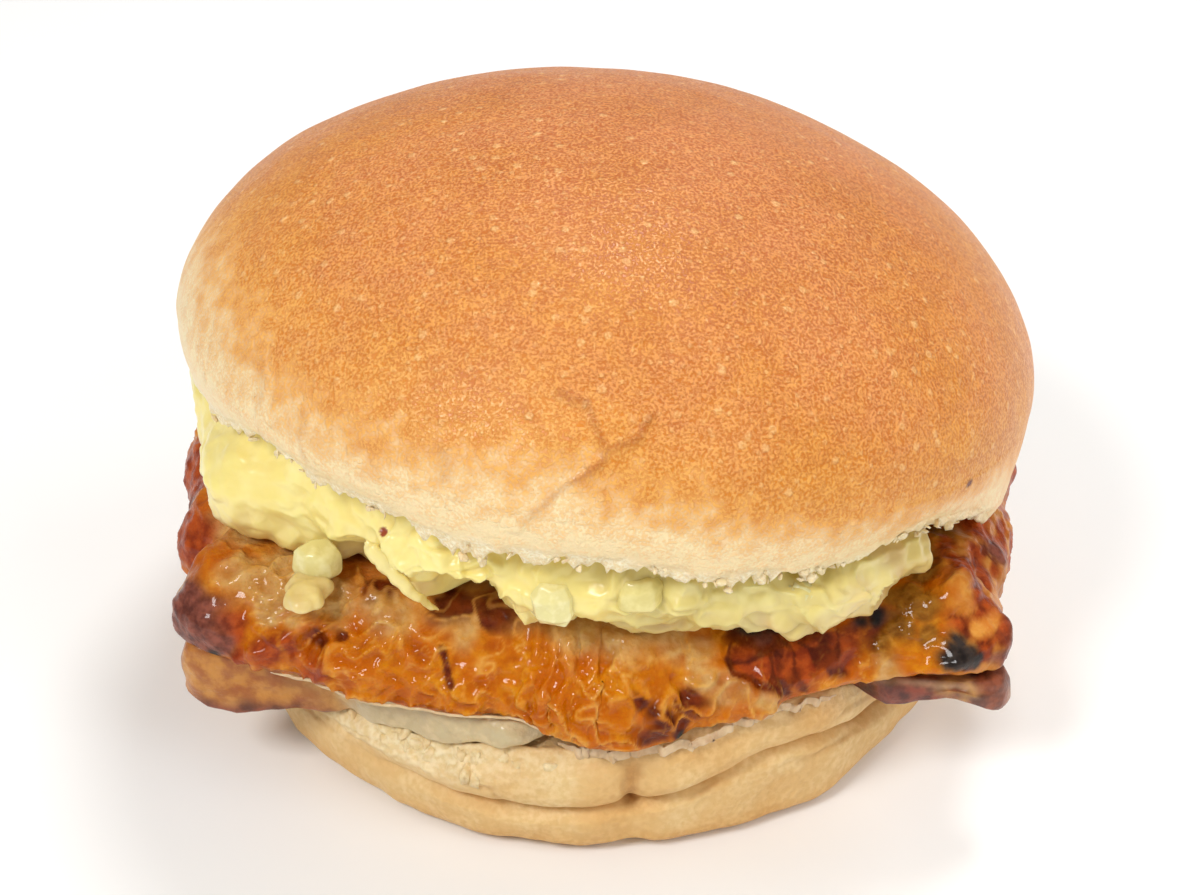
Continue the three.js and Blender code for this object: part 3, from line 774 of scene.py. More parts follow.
def makeChicken():
    angles = anglesRound(chicken["segments"], 0.5)
    stations = chickenStations(angles)
    piece = ringPiece("chickenPiece", angles, stations, chicken["rows"], chicken["middle"])
    points = readPoints(piece)
    x, y, z = points.T
    bare = smooth(-3, 1, besideSauce(x, y)) * smooth(20, 24, z)
    moved = warped(points, 4, 1.4, 21)
    masks = {name: patches(moved, chicken[name]) for name in skinTones}
    facing = frontness(turnOf(points))
    upper = smooth(29.5, 33.5, z + 1.5 * noise(points, 6, 53)) * facing
    fatty = 0.6 * upper * smooth(34, 27, x) * (1 - masks["brick"])
    masks["tan"] = np.maximum(masks["tan"], fatty)

    # The rolled strip at the right is meat more than skin, and its outer corner is browned
    strip = smooth(40.5, 45, x) * smooth(-4, -14, y)
    mixed = noise(warped(points, 4, 1.5, 57), 3.2, 58)
    masks["tan"] = np.maximum(masks["tan"], 0.4 * strip)
    masks["brick"] = np.maximum(masks["brick"], 0.7 * strip * smooth(-0.35, 0.35, mixed))
    corner = smooth(49.5, 53, x) * smooth(-22, -30, y)
    masks["maroon"] = np.maximum(masks["maroon"], corner * (0.6 + 0.15 * mixed))

    # Skin shrinks in winding ridges: broad ones, finer ones, and upright ones near the top
    squeezed = warped(points, 4, 2, 11) * (0.9, 0.9, 1.1)
    broad = (1 - np.abs(noise(squeezed, 3.1, 12))) ** 3
    finer = (1 - np.abs(noise(warped(points, 3, 1, 14), 1.8, 16))) ** 3
    upright = (1 - np.abs(noise(warped(points, 4, 1, 17) * (1, 1, 0.4), 1.7, 15))) ** 3
    broken = smooth(-0.45, 0.35, noise(warped(points, 5, 2, 56), 4.5, 55))
    calm = np.maximum(smooth(32, 37, x), smooth(-44, -51, x))
    skin = 1 - np.clip(masks["maroon"] + masks["char"] + 0.3 * masks["brick"] + 0.75 * calm, 0, 1)
    raised = ridges(points, chicken["ridgePaths"], 0.95, 31)
    folded = (0.45 + 0.55 * broken) * broad
    wrinkles = folded + chicken["fineWrinkle"] * finer
    wrinkles += chicken["uprightWrinkle"] * upright * upper
    relief = (0.25 + 0.75 * skin) * (wrinkles - 0.45)
    uneven = 0.5 * noise(points, 7, 41) + chicken["ridgeHeight"] * raised
    relief += uneven + patches(points, chicken["swellings"])
    relief += 0.4 * calm * noise(points, 2.5, 43)
    pleats = masks["brick"] * smooth(12, 16, x) * facing
    pleat = noise(warped(points, 4, 0.8, 47) * (1, 1, 0.35), 2.8, 48)
    relief += pleats * (chicken["pleatHeight"] * np.abs(pleat) - 1.1 + 0.4 * noise(points, 1.5, 45))
    relief -= chicken["dentDepth"] * patches(points, chicken["dents"])
    pushOut(piece, bare * relief)

    lower = skin * (1 - 0.8 * upper)
    # Painted shade in the valleys between the broad wrinkles
    paint(piece, "valley", (0.7 - 1.4 * broad) * lower * smooth(-0.5, 0.3, noise(points, 9, 51)))
    # A painted highlight along the wrinkle crests, kept off the brick and mahogany
    plain = lower * (1 - masks["brick"]) * (1 - 0.8 * masks["mahogany"])
    lines = np.maximum(smooth(0.66, 0.98, broad), 0.5 * smooth(0.75, 1, finer))
    paint(piece, "crest", 0.7 * lines * plain * (0.15 + 0.85 * broken))
    # Mahogany kept to the valleys off the crests, and laid in the pleat grooves: painted shade
    masks["mahogany"] *= 1 - 0.5 * smooth(0.5, 0.9, broad)
    masks["mahogany"] = np.maximum(masks["mahogany"], smooth(0, 0.5, pleats) * hump(pleat, 0.2))
    streak = ridges(points, [chicken["streak"]], 0.6, 52)
    masks["mahogany"] = np.maximum(masks["mahogany"], streak)
    for name, values in masks.items():
        paint(piece, name, smooth(0.15, 0.75, values))
    present(piece, skinMaterial, "chicken_skin", "chicken")


makeChicken()
print("chicken made")


# The lower fold of the chicken, between the piece above and the pressed lip of the bun

fold = {
    "underside": 19.2, "top": 22.45, "innerReach": 43.5, "bandReach": 7.6, "rightReach": 11.5,
    "leftReach": 13.3, "cornerReach": 12, "gap": 0.42,
    "leftCorner": [(-146, 1, 8.5)], "rightCorner": [(-39, 1, 6.8)],
    "segments": 520, "rows": [2, 4, 8, 8, 8, 8, 8, 8, 4],
}


def foldReach(angle):  # outer edge, and the shares of the left band, the right flap and corners
    place = (angle / degree + 180) % 360 - 180
    band = smooth(-152, -147, place) * (1 - smooth(-104, -88, place))
    rightStart = smooth(-52, -49, place)
    right = rightStart * (1 - smooth(-38, -33.5, place))
    leftCorner = humps(angle, fold["leftCorner"]) * band
    rightCorner = humps(angle, fold["rightCorner"])
    reach = fold["bandReach"] * band + fold["rightReach"] * right
    ragged = 0.4 * (band + right) * np.sin(31 * angle)
    corners = fold["leftReach"] * leftCorner + fold["cornerReach"] * rightCorner * rightStart
    return fold["innerReach"] + reach + corners + ragged, leftCorner, rightCorner, right


def foldStations(angle):
    edge, leftCorner, rightCorner, right = foldReach(angle)
    floor, top = fold["underside"], fold["top"]
    overLip = np.minimum(floor, heelRim(angle) + fold["gap"] + 0.3)
    onShelf = np.minimum(floor, heelShelf(angle) + fold["gap"] + 0.5)
    droop = (2.2 * leftCorner - 0.7 * right) * smooth(54, 60, edge)
    low = overLip - droop
    lift = 0.6 * (leftCorner + rightCorner * right)
    high = top + lift - np.maximum(0, chickenHang(angle))
    lipEdge = np.minimum(heel["upperRollRadius"], edge - 1.4)
    return [
        (0, floor),
        (heel["rimRadius"] - 13, floor),
        (np.minimum(heel["rimRadius"] - 5, edge - 2.6), onShelf),
        (lipEdge, overLip),
        (edge - 0.3, low + 0.1),
        (edge, blend(low, high, 0.4)),
        (edge - 0.4, blend(low, high, 0.75)),
        (edge - 1.5, high),
        (edge - 5.5, blend(high, top, 0.7)),
        (0, top),
    ]


def makeFold():
    angles = anglesRound(fold["segments"], 0.4)
    piece = ringPiece("chickenFold", angles, foldStations(angles), fold["rows"])
    points = readPoints(piece)
    radius = reachOf(points)
    outside = smooth(43, 47, radius)
    relief = 0.4 * noise(points, 5, 61) + 0.3 * noise(points, 2, 62)
    pushOut(piece, outside * relief)
    turn = np.degrees(turnOf(points))
    notch = 1.7 * hump(turn + 44, 1.7) - 1.3 * hump(turn + 37.5, 3.2) - 0.6 * hump(turn + 49, 2)
    below = smooth(22, 19.8, points[:, 2]) * smooth(49, 52, radius)
    movePoints(piece, (notch * below)[:, None] * (0, 0, 1))

    # Beige where it is shielded, browned at the left corner and dark at the right flap
    place = turnOf(points) / degree + 4 * noise(points, 5, 63) + 1.5 * noise(points, 1.6, 65)
    rim = smooth(16, 14, points[:, 2] + 0.7 * noise(points, 3, 64))
    left = smooth(-130, -138, place) * smooth(-4, -20, points[:, 1])
    flap = smooth(-54, -50, place) * smooth(-20, -30, place)
    lobe = smooth(-46, -41, place) * flap
    back = smooth(-20, -4, points[:, 1])
    spot = hump(place + 43.5, 1.4) * flap
    paint(piece, "tan", np.maximum(smooth(-126, -134, place), np.maximum(spot, 0.7 * back)))
    browned = np.maximum(left * (0.75 + 0.25 * noise(points, 3, 66)), 0.8 * flap * (1 - spot))
    paint(piece, "brown", np.maximum(browned, 0.6 * back * smooth(-0.2, 0.5, noise(points, 6, 67))))
    dark = flap * (0.95 - 0.1 * lobe) * (1 - 0.6 * spot)
    paint(piece, "maroon", np.maximum(0.85 * rim * left, dark))
    paint(piece, "edge", 0.4 * hump(points[:, 2] - 22.2, 0.4) * flap * (1 - lobe))
    present(piece, meatMaterial, "chicken_meat", "chicken_under")


makeFold()
print("fold made")


# Sizes of the crown. The sauce below it reads them too: it fills the room under the crown

crown = {
    "middle": (1.11, -0.05, 49.31), "pitch": -8.25, "roll": 6.62, "radius": 57.0, "rise": 31.9,
    "skirt": 6.4, "roundness": 1.85, "segments": 540, "rings": 165, "crowding": 0.4,
    "creaseDepth": 0.5, "wrinkleDepth": 0.25, "facetDepth": 0.35, "teeth": (1.9, 1.2, 1.2),
    "lip": [
        (-21, -6.2, 11), (-163, -0.8, 12), (-63, -0.9, 12), (-78, -0.7, 4), (-137, 2.2, 10),
        (-121, 1.1, 6), (-90, 0.5, 6), (-47, 1.5, 5),
    ],
    "lipWaves": [(11, 0.15, 30), (17, 0.12, 0)],
    "lean": [(130, -1, 32), (38, 0.9, 30), (-175, 0.5, 15)],
    "leanWaves": [(3, 0.2, 60)],
    "corner": [(-21, 0.7, 12)],
    "pale": [
        (-170, 0.12, 22), (-140, 0.06, 22), (-100, 0.07, 22), (-20, -0.05, 26), (-54, -0.03, 15),
    ],
    "creasePaths": [
        [(-4.4, -48, 70.2), (-1.3, -49, 69.4), (-0.3, -50.4, 67.9), (0.7, -52.7, 65.5),
         (0.6, -53.5, 64.3), (-1.8, -54.2, 63.3), (-4.9, -55, 61.7), (-7.2, -55.5, 59.3),
         (-9.5, -55.4, 56.1)],
        [(0.7, -52.7, 65.5), (2.4, -52.3, 65.7), (4.2, -51.3, 66.5), (5.9, -49.3, 68.4)],
    ],
    "wrinklePaths": [
        [(-39.6, -34.3, 65.5), (-39.4, -37.3, 62.5), (-39.7, -38.1, 57.4)],
        [(-34, -42.4, 63), (-34.2, -43.7, 58.1)],
        [(-17.2, -50.6, 64.9), (-16.9, -52.5, 61.5)],
    ],
    "facets": [(-2.5, -52, 66.5, 2.6), (1.6, -50.5, 68, 2)],
    "speck": [(44.5, -36.7, 49.4, 0.7)],
    # Share of the way, radius, depth as a share of the skirt, share of the lip's rise and fall
    "under": [
        (0, 0, 1, 0), (0.06, 48.5, 1, 0), (0.1, 52.2, 0.98, 0.45), (0.15, 53.8, 1, 1),
        (0.2, 55, 0.89, 1), (0.26, 56.1, 0.62, 0.62), (0.31, 56.76, 0.3, 0.3), (0.36, 57, 0, 0),
    ],
}


def crownTurn():  # turned about X, then about Y
    pitch, roll = crown["pitch"] * degree, crown["roll"] * degree
    aboutX = np.array([
        [1, 0, 0], [0, math.cos(pitch), -math.sin(pitch)], [0, math.sin(pitch), math.cos(pitch)]])
    aboutY = np.array([
        [math.cos(roll), 0, math.sin(roll)], [0, 1, 0], [-math.sin(roll), 0, math.cos(roll)]])
    return aboutY @ aboutX


def crownUnderside(x, y):
    up = crownTurn() @ (0, 0, 1)
    fall = up[0] * (x - crown["middle"][0]) + up[1] * (y - crown["middle"][1])
    return crown["middle"][2] - (crown["skirt"] + fall) / up[2]


def reachUnderCrown(angle, radius):
    offsetX = sauce["middle"][0] - crown["middle"][0]
    offsetY = sauce["middle"][1] - crown["middle"][1]
    along = offsetX * np.cos(angle) + offsetY * np.sin(angle)
    return np.sqrt(along ** 2 + radius ** 2 - offsetX ** 2 - offsetY ** 2) - along


# The layer of sauce, bulging out below the crown's lip

def sauceStations(angle):
    def height(surface, radius):
        return surface(*placeAt(sauce["middle"], angle, radius))

    border = sauceBorder(angle)
    inset = sauce["backInset"] * smooth(-0.2, 0.9, np.sin(angle)) + humps(angle, sauce["drawnIn"])
    upper = np.minimum(reachUnderCrown(angle, sauce["crownReach"]) - inset, border + 4)
    belly = np.maximum(upper, border) + sauce["bulge"] * (0.3 + 0.7 * frontness(angle))
    leftSide = humps(angle, sauce["leftSide"])
    rolls = waves(angle, sauce["rolls"]) * (0.4 + 0.6 * frontness(angle))
    hollow = humps(angle, sauce["hollows"])
    lifted = sauce["hollowLift"] * hollow
    rest = height(chickenLevel, border) + fold["gap"]
    ceiling = height(crownUnderside, upper) - fold["gap"]
    return [
        (0, height(chickenLevel, 0) + fold["gap"]),
        (border - hollow - 4, height(chickenLevel, border - 4) + fold["gap"]),
        (border - hollow - 1.6, rest + 0.35),
        (border - hollow, blend(rest, ceiling, 0.14 + lifted)),
        (blend(border - 0.6 * hollow, belly, 0.45) + 0.6 * rolls,
         blend(rest, ceiling, 0.3 + lifted)),
        (belly + rolls, blend(rest, ceiling, 0.5 + 0.7 * lifted)),
        (blend(belly, upper, 0.25) + 0.7 * rolls + leftSide,
         blend(rest, ceiling, 0.7 + 0.4 * lifted)),
        (blend(belly, upper, 0.7) + 0.3 * rolls + leftSide, blend(rest, ceiling, 0.87)),
        (upper - 0.6, ceiling + 0.6),
        (0.6 * upper, height(crownUnderside, 0.6 * upper)),
        (0, height(crownUnderside, 0)),
    ]


def makeSauce():
    angles = anglesRound(sauce["segments"], 0.5)
    piece = ringPiece("sauceLayer", angles, sauceStations(angles), sauce["rows"], sauce["middle"])
    points = readPoints(piece)
    x, y, z = points.T
    outside = smooth(-6, -2, besideSauce(x, y))
    facing = frontness(turnOf(points))
    lumps = np.abs(noise(warped(points, 6, 1.5, 71), 6, 74))
    small = np.abs(noise(warped(points, 3, 1, 76), 3, 79))
    knobbly = 0.35 + 0.65 * smooth(-33, -22, x)  # calmer at the left
    creased = (1 - np.abs(noise(warped(points, 5, 1.5, 85), 5, 86))) ** 4
    relief = sauce["lumpHeight"] * lumps + sauce["smallLumpHeight"] * small * knobbly
    relief = relief + 0.1 * noise(points, 1.3, 72) - 1.1
    relief += sauce["creaseHeight"] * creased * knobbly
    relief += (1 - knobbly) * (1.1 * noise(points, 7, 80) + 0.4 * noise(points, 2.5, 84))
    clear = 1 - patches(points, sauce["plain"])
    pushOut(piece, outside * relief * (0.5 + 0.5 * facing) * clear)

    # Thin and fatty along the lower border and at the right, greener to the right of the middle
    low = smooth(42.5, 38, z)
    right = smooth(22, 38, x)
    thin = 0.6 * smooth(-0.2, 0.6, noise(points, 4, 73)) * np.maximum(low, right)
    thin += 0.35 * smooth(40, 36.5, z)
    paint(piece, "thin", outside * (thin + 0.35 * right))
    paint(piece, "green", smooth(-12, 12, x + 8 * noise(points, 8, 77)) * facing)
    paint(piece, "pepper", smooth(0.3, 0.5, patches(points, sauce["fleck"])))
    present(piece, sauceMaterial, "yellow_sauce", "sauce")
    return piece


sauceLayer = makeSauce()
print("sauce made")


# The small separate dab of sauce on the skin

dollop = {
    "at": (-36.1, -40.2), "halfWidth": 2.8, "halfDepth": 4.8, "height": 3.2, "clearance": 0.3,
    "segments": 120, "rows": [3, 8, 10, 10, 8],
}


def dollopStations(angle):
    size = 1 / np.hypot(np.cos(angle) / dollop["halfWidth"], np.sin(angle) / dollop["halfDepth"])
    edge = size * (1 + 0.09 * np.sin(3 * angle + 1) + 0.05 * np.sin(5 * angle))

    def floorAt(radius):
        return chickenTop(*placeAt(dollop["at"], angle, radius)) + dollop["clearance"]

    climb = dollop["height"]
    return [
        (0, floorAt(0)),
        (edge - 1, floorAt(edge)),
        (edge, floorAt(edge) + 0.28 * climb),
        (0.86 * edge, floorAt(edge) + 0.62 * climb),
        (0.52 * edge, floorAt(0) + 0.92 * climb),
        (0, floorAt(0) + climb),
    ]


def makeDollop():
    angles = anglesRound(dollop["segments"], 0)
    stations = dollopStations(angles)
    piece = ringPiece("sauceDollop", angles, stations, dollop["rows"], dollop["at"])
    points = readPoints(piece)
    pushOut(piece, 0.35 * noise(points, 2.6, 81) + 0.12 * noise(points, 1.1, 82))
    paint(piece, "thin", 0.65 + 0.3 * noise(points, 3, 83))
    paint(piece, "pepper", np.zeros(len(points)))
    present(piece, sauceMaterial, "yellow_sauce", "sauce_dollop")


makeDollop()
print("dollop made")


# Pieces of cut onion: blocks with flat sides and softened edges

onions = [
    {"node": "onion_piece_1", "at": (-5.5, -50.6, 40.3), "size": (3.1, 3.3, 5.4), "coated": 0.0},
    {"node": "onion_piece_2", "at": (4.4, -50.6, 41.6), "size": (3.2, 2.7, 4.6), "coated": 0.85},
    {"node": "onion_piece_3", "at": (-34.8, -37.4, 36.3), "size": (3.4, 2.2, 3.9), "coated": 0.4},
]
onionForm = {
    "sides": 7, "crowding": 0.25, "uneven": 0.5,
    "levels": [(0.8, 0), (1, 0.2), (0.97, 0.75), (0.7, 1)],  # shares of the reach and the height
    "softening": 0.2, "softSegments": 3, "sharpestAngle": 20, "bareBelow": 0.3,
}


def makeOnion(onion):
    x, y, floor = onion["at"]
    halfWidth, halfDepth, height = onion["size"]
    sides, levels = onionForm["sides"], onionForm["levels"]
    angles = anglesRound(sides, onionForm["crowding"])
    size = 1 / np.hypot(np.cos(angles) / halfWidth, np.sin(angles) / halfDepth)
    points = [(x, y, floor)]
    for share, climb in levels:
        for angle, reach in zip(angles, share * size):
            points.append((*placeAt((x, y), angle, reach), floor + height * climb))
    points.append((x, y, floor + height))
    points = np.array(points)
    points += onionForm["uneven"] * noise(points, 2.5, 87)[:, None]

    def corner(ring, step):
        return 1 + sides * ring + step % sides

    top, last = len(points) - 1, len(levels) - 1
    faces = [(0, corner(0, step + 1), corner(0, step)) for step in range(sides)]
    for ring in range(last):
        for step in range(sides):
            faces.append((corner(ring, step), corner(ring, step + 1),
                          corner(ring + 1, step + 1), corner(ring + 1, step)))
    faces += [(corner(last, step), corner(last, step + 1), top) for step in range(sides)]
    piece = newObject(onion["node"].replace("_piece_", "Chunk"), points, faces)
    if onion["coated"] < onionForm["bareBelow"]:
        piece.data.shade_flat()
    bevel = piece.modifiers.new("softEdges", "BEVEL")
    bevel.width = (onionForm["softening"] + onion["coated"]) * mm
    bevel.segments = onionForm["softSegments"]
    bevel.limit_method = "ANGLE"
    bevel.angle_limit = onionForm["sharpestAngle"] * degree
    paint(piece, "coated", np.full(len(points), onion["coated"]))
    present(piece, onionMaterial, "onion", onion["node"])


for onionPiece in onions:
    makeOnion(onionPiece)
print("onion made")


# Top half of the bun: a domed cap over a torn lip, drawn by Geometry Nodes from its sizes

def newTree(name, inputs):
    tree = bpy.data.node_groups.new(name, "GeometryNodeTree")
    sockets = {}
    for label, kind in inputs.items():
        sockets[label] = tree.interface.new_socket(
            label, in_out="INPUT", socket_type="NodeSocket" + kind)
    tree.interface.new_socket("Geometry", in_out="OUTPUT", socket_type="NodeSocketGeometry")
    return tree, sockets, addNode(tree, "NodeGroupInput").node.outputs


def endTree(tree, geometry, material):
    geometry = addNode(tree, "GeometryNodeRealizeInstances", None, {"Geometry": geometry})
    geometry = addNode(tree, "GeometryNodeSetMaterial", None, {
        "Geometry": geometry, "Material": material})
    addNode(tree, "NodeGroupOutput", None, {"Geometry": geometry})


def nodeHumps(tree, angle, places, total):  # adds humps round the outline to a running total
    for place, height, width in places:
        apart = addNode(tree, "ShaderNodeMath", minus, [angle, place * degree])
        apart = addNode(tree, "ShaderNodeMath", {"operation": "WRAP"}, [apart, math.pi, -math.pi])
        apart = addNode(tree, "ShaderNodeMath", over, [apart, width * degree])
        apart = addNode(tree, "ShaderNodeMath", times, [apart, apart])
        apart = addNode(tree, "ShaderNodeMath", times, [apart, -1.0])
        shape = addNode(tree, "ShaderNodeMath", {"operation": "EXPONENT"}, [apart])
        total = addNode(tree, "ShaderNodeMath", timesPlus, [shape, height, total])
    return total


def nodeWaves(tree, angle, places, total):
    for count, height, start in places:
        phase = addNode(tree, "ShaderNodeMath", timesPlus, [angle, count, start * degree])
        wave = addNode(tree, "ShaderNodeMath", {"operation": "SINE"}, [phase])
        total = addNode(tree, "ShaderNodeMath", timesPlus, [wave, height, total])
    return total


def nodeCurve(tree, climb, stations, top):  # a curve through (share of the way, value) points
    share = addNode(tree, "ShaderNodeFloatCurve", None, {"Value": climb})
    mapping = share.node.mapping
    mapping.use_clip = False
    points = mapping.curves[0].points
    while len(points) < len(stations):
        points.new(0.5, 0.5)
    for point, (place, value) in zip(points, stations):
        point.location = (place, value / top)
    mapping.update()
    return addNode(tree, "ShaderNodeMath", times, [share, top])


def crownTree():
    tree, sockets, given = newTree("bunCrown", {
        "Radius": "Float", "Rise": "Float", "Roundness": "Float", "Skirt": "Float",
        "Segments": "Int", "Rings": "Int", "Crust": "Material",
    })
    grid = addNode(tree, "GeometryNodeMeshGrid", None, {
        "Size X": 1.0, "Size Y": 1.0, "Vertices X": given["Rings"],
        "Vertices Y": given["Segments"]})

    # The grid's long side goes round the cap and its short side climbs from below to the top
    place = addNode(tree, "GeometryNodeInputPosition")
    split = addNode(tree, "ShaderNodeSeparateXYZ", None, [place]).node.outputs
    climb = addNode(tree, "ShaderNodeMath", plus, [split[0], 0.5])
    even = addNode(tree, "ShaderNodeMath", timesPlus, [split[1], fullTurn, math.pi])
    crowd = addNode(tree, "ShaderNodeMath", {"operation": "SINE"}, [even])
    angle = addNode(tree, "ShaderNodeMath", timesPlus, [crowd, -crown["crowding"], even])
    angle = addNode(tree, "ShaderNodeMath", plus, [angle, front])
    cosine = addNode(tree, "ShaderNodeMath", {"operation": "COSINE"}, [angle])
    sine = addNode(tree, "ShaderNodeMath", {"operation": "SINE"}, [angle])

    lip = nodeHumps(tree, angle, crown["lip"], 0.0)
    lip = nodeWaves(tree, angle, crown["lipWaves"], lip)
    lean = nodeHumps(tree, angle, crown["lean"], 0.0)
    lean = nodeWaves(tree, angle, crown["leanWaves"], lean)
    corner = nodeHumps(tree, angle, crown["corner"], 0.0)

    # Below the widest ring: radius, depth and share of the lip's rise and fall
    under = crown["under"]
    widest = under[-1][0]
    radius = nodeCurve(tree, climb, [(at, value) for at, value, _, _ in under], crown["radius"])
    depth = nodeCurve(tree, climb, [(at, value) for at, _, value, _ in under], 1)
    share = nodeCurve(tree, climb, [(at, value) for at, _, _, value in under], 1)
    spread = addNode(tree, "ShaderNodeMath", timesPlus, [lean, 0.75, corner])
    spread = addNode(tree, "ShaderNodeMath", times, [spread, share])
    underRadius = addNode(tree, "ShaderNodeMath", plus, [radius, spread])
    skirt = addNode(tree, "ShaderNodeMath", times, [given["Skirt"], depth])
    lip = addNode(tree, "ShaderNodeMath", times, [lip, share])
    underHeight = addNode(tree, "ShaderNodeMath", minus, [lip, skirt])

    # Above it: a dome that is squarer than a circle by its roundness
    up = addNode(tree, "ShaderNodeMapRange", None, [climb, widest, 1.0, 0.0, math.pi / 2])
    power = addNode(tree, "ShaderNodeMath", over, [2.0, given["Roundness"]])
    inward = addNode(tree, "ShaderNodeMath", {"operation": "COSINE"}, [up])
    inward = addNode(tree, "ShaderNodeMath", {"operation": "MAXIMUM"}, [inward, 0.0])
    inward = addNode(tree, "ShaderNodeMath", {"operation": "POWER"}, [inward, power])
    wide = addNode(tree, "ShaderNodeMath", plus, [given["Radius"], lean])
    domeRadius = addNode(tree, "ShaderNodeMath", times, [wide, inward])
    rising = addNode(tree, "ShaderNodeMath", {"operation": "SINE"}, [up])
    rising = addNode(tree, "ShaderNodeMath", {"operation": "POWER"}, [rising, power])
    domeHeight = addNode(tree, "ShaderNodeMath", times, [given["Rise"], rising])

    isDome = addNode(tree, "ShaderNodeMath", moreThan, [climb, widest])
    radius = addNode(tree, "ShaderNodeMix", None, [isDome, underRadius, domeRadius])
    height = addNode(tree, "ShaderNodeMix", None, [isDome, underHeight, domeHeight])
    x = addNode(tree, "ShaderNodeMath", times, [radius, cosine])
    y = addNode(tree, "ShaderNodeMath", times, [radius, sine])
    spot = addNode(tree, "ShaderNodeCombineXYZ", None, [x, y, height])
    spot = addNode(tree, "ShaderNodeVectorMath", {"operation": "SCALE"}, {0: spot, "Scale": mm})
    shell = addNode(tree, "GeometryNodeStoreNamedAttribute", {"data_type": "FLOAT"}, {
        "Geometry": grid, "Name": "climb", "Value": climb})
    shell = addNode(tree, "GeometryNodeSetPosition", None, {"Geometry": shell, "Position": spot})
    shell = addNode(tree, "GeometryNodeMergeByDistance", None, {
        "Geometry": shell, "Distance": 0.01 * mm})
    endTree(tree, shell, given["Crust"])
    return tree, sockets


def useTree(piece, tree, sockets, values):  # leaves the tree's result as the piece's plain mesh
    modifier = piece.modifiers.new(tree.name, "NODES")
    modifier.node_group = tree
    for name, value in values.items():
        modifier[sockets[name].identifier] = value
    depsgraph = bpy.context.evaluated_depsgraph_get()
    mesh = bpy.data.meshes.new_from_object(piece.evaluated_get(depsgraph))
    piece.modifiers.clear()
    piece.data = mesh


def makeBunTop():
    piece = newObject("bunTop", [(0, 0, 0)], [])
    tree, sockets = crownTree()
    useTree(piece, tree, sockets, {
        "Radius": crown["radius"], "Rise": crown["rise"], "Roundness": crown["roundness"],
        "Skirt": crown["skirt"],
        "Segments": crown["segments"] + 1, "Rings": crown["rings"], "Crust": crustMaterial,
    })
    piece.data.shade_smooth()
    points = readPoints(piece)
    movePoints(piece, points @ crownTurn().T + crown["middle"] - points)
    return piece


def finishBunTop(piece):
    points = readPoints(piece)
    climb = readShare(piece, "climb")
    angle = turnOf(points)
    lip = hump(climb - 0.17, 0.05)
    dome = smooth(0.3, 0.45, climb)
    crease = ridges(points, crown["creasePaths"], 0.4, 97)
    wrinkle = ridges(points, crown["wrinklePaths"], 0.7, 99)
    relief = 0.3 * noise(points, 22, 91) * dome + 0.1 * noise(points, 6, 92) * dome
    relief += lip * (0.6 * noise(points, 2.6, 93) + 0.45 * noise(points, 1.2, 94))
    lines = crown["creaseDepth"] * crease + crown["wrinkleDepth"] * wrinkle
    relief -= lines + crown["facetDepth"] * patches(points, crown["facets"])
    pushOut(piece, relief)

    # The torn lip hangs in uneven teeth
    column = points * (1, 1, 0.35)
    broadTeeth, fineTeeth, tips = crown["teeth"]
    teeth = broadTeeth * np.clip(noise(column, 4.5, 88), 0, 1)
    teeth += fineTeeth * np.clip(noise(column, 2.2, 89), 0, 1)
    teeth += tips * (1 - np.abs(noise(column, 1.7, 90))) ** 4
    teeth *= hump(climb - 0.155, 0.026) * (0.4 + 0.6 * frontness(angle))
    movePoints(piece, -teeth[:, None] * crownTurn()[:, 2])

    # Cream below and golden above, with the border higher where the crust stayed pale
    pale = humps(angle, crown["pale"])
    uneven = climb - pale + 0.04 * noise(points, 8, 95) + 0.03 * noise(points, 2.2, 98)
    paint(piece, "bake", 0.75 * smooth(0.2, 0.56, uneven) + 0.25 * smooth(0.5, 0.95, uneven))
    paint(piece, "crumb", smooth(0.23, 0.16, climb - 0.4 * pale + 0.04 * noise(points, 1.6, 96)))
    paint(piece, "scorch", smooth(0.4, 0.7, patches(points, crown["speck"])))
    # Painted shade in the creases and wrinkles
    paint(piece, "crease", 0.75 * crease * dome + 0.25 * wrinkle)
    present(piece, crustMaterial, "bun_crust", "bun_top")


bunTop = makeBunTop()
finishBunTop(bunTop)
print("top bun made")


# Crumbs torn along the lip and bits of onion in the sauce, scattered by Geometry Nodes

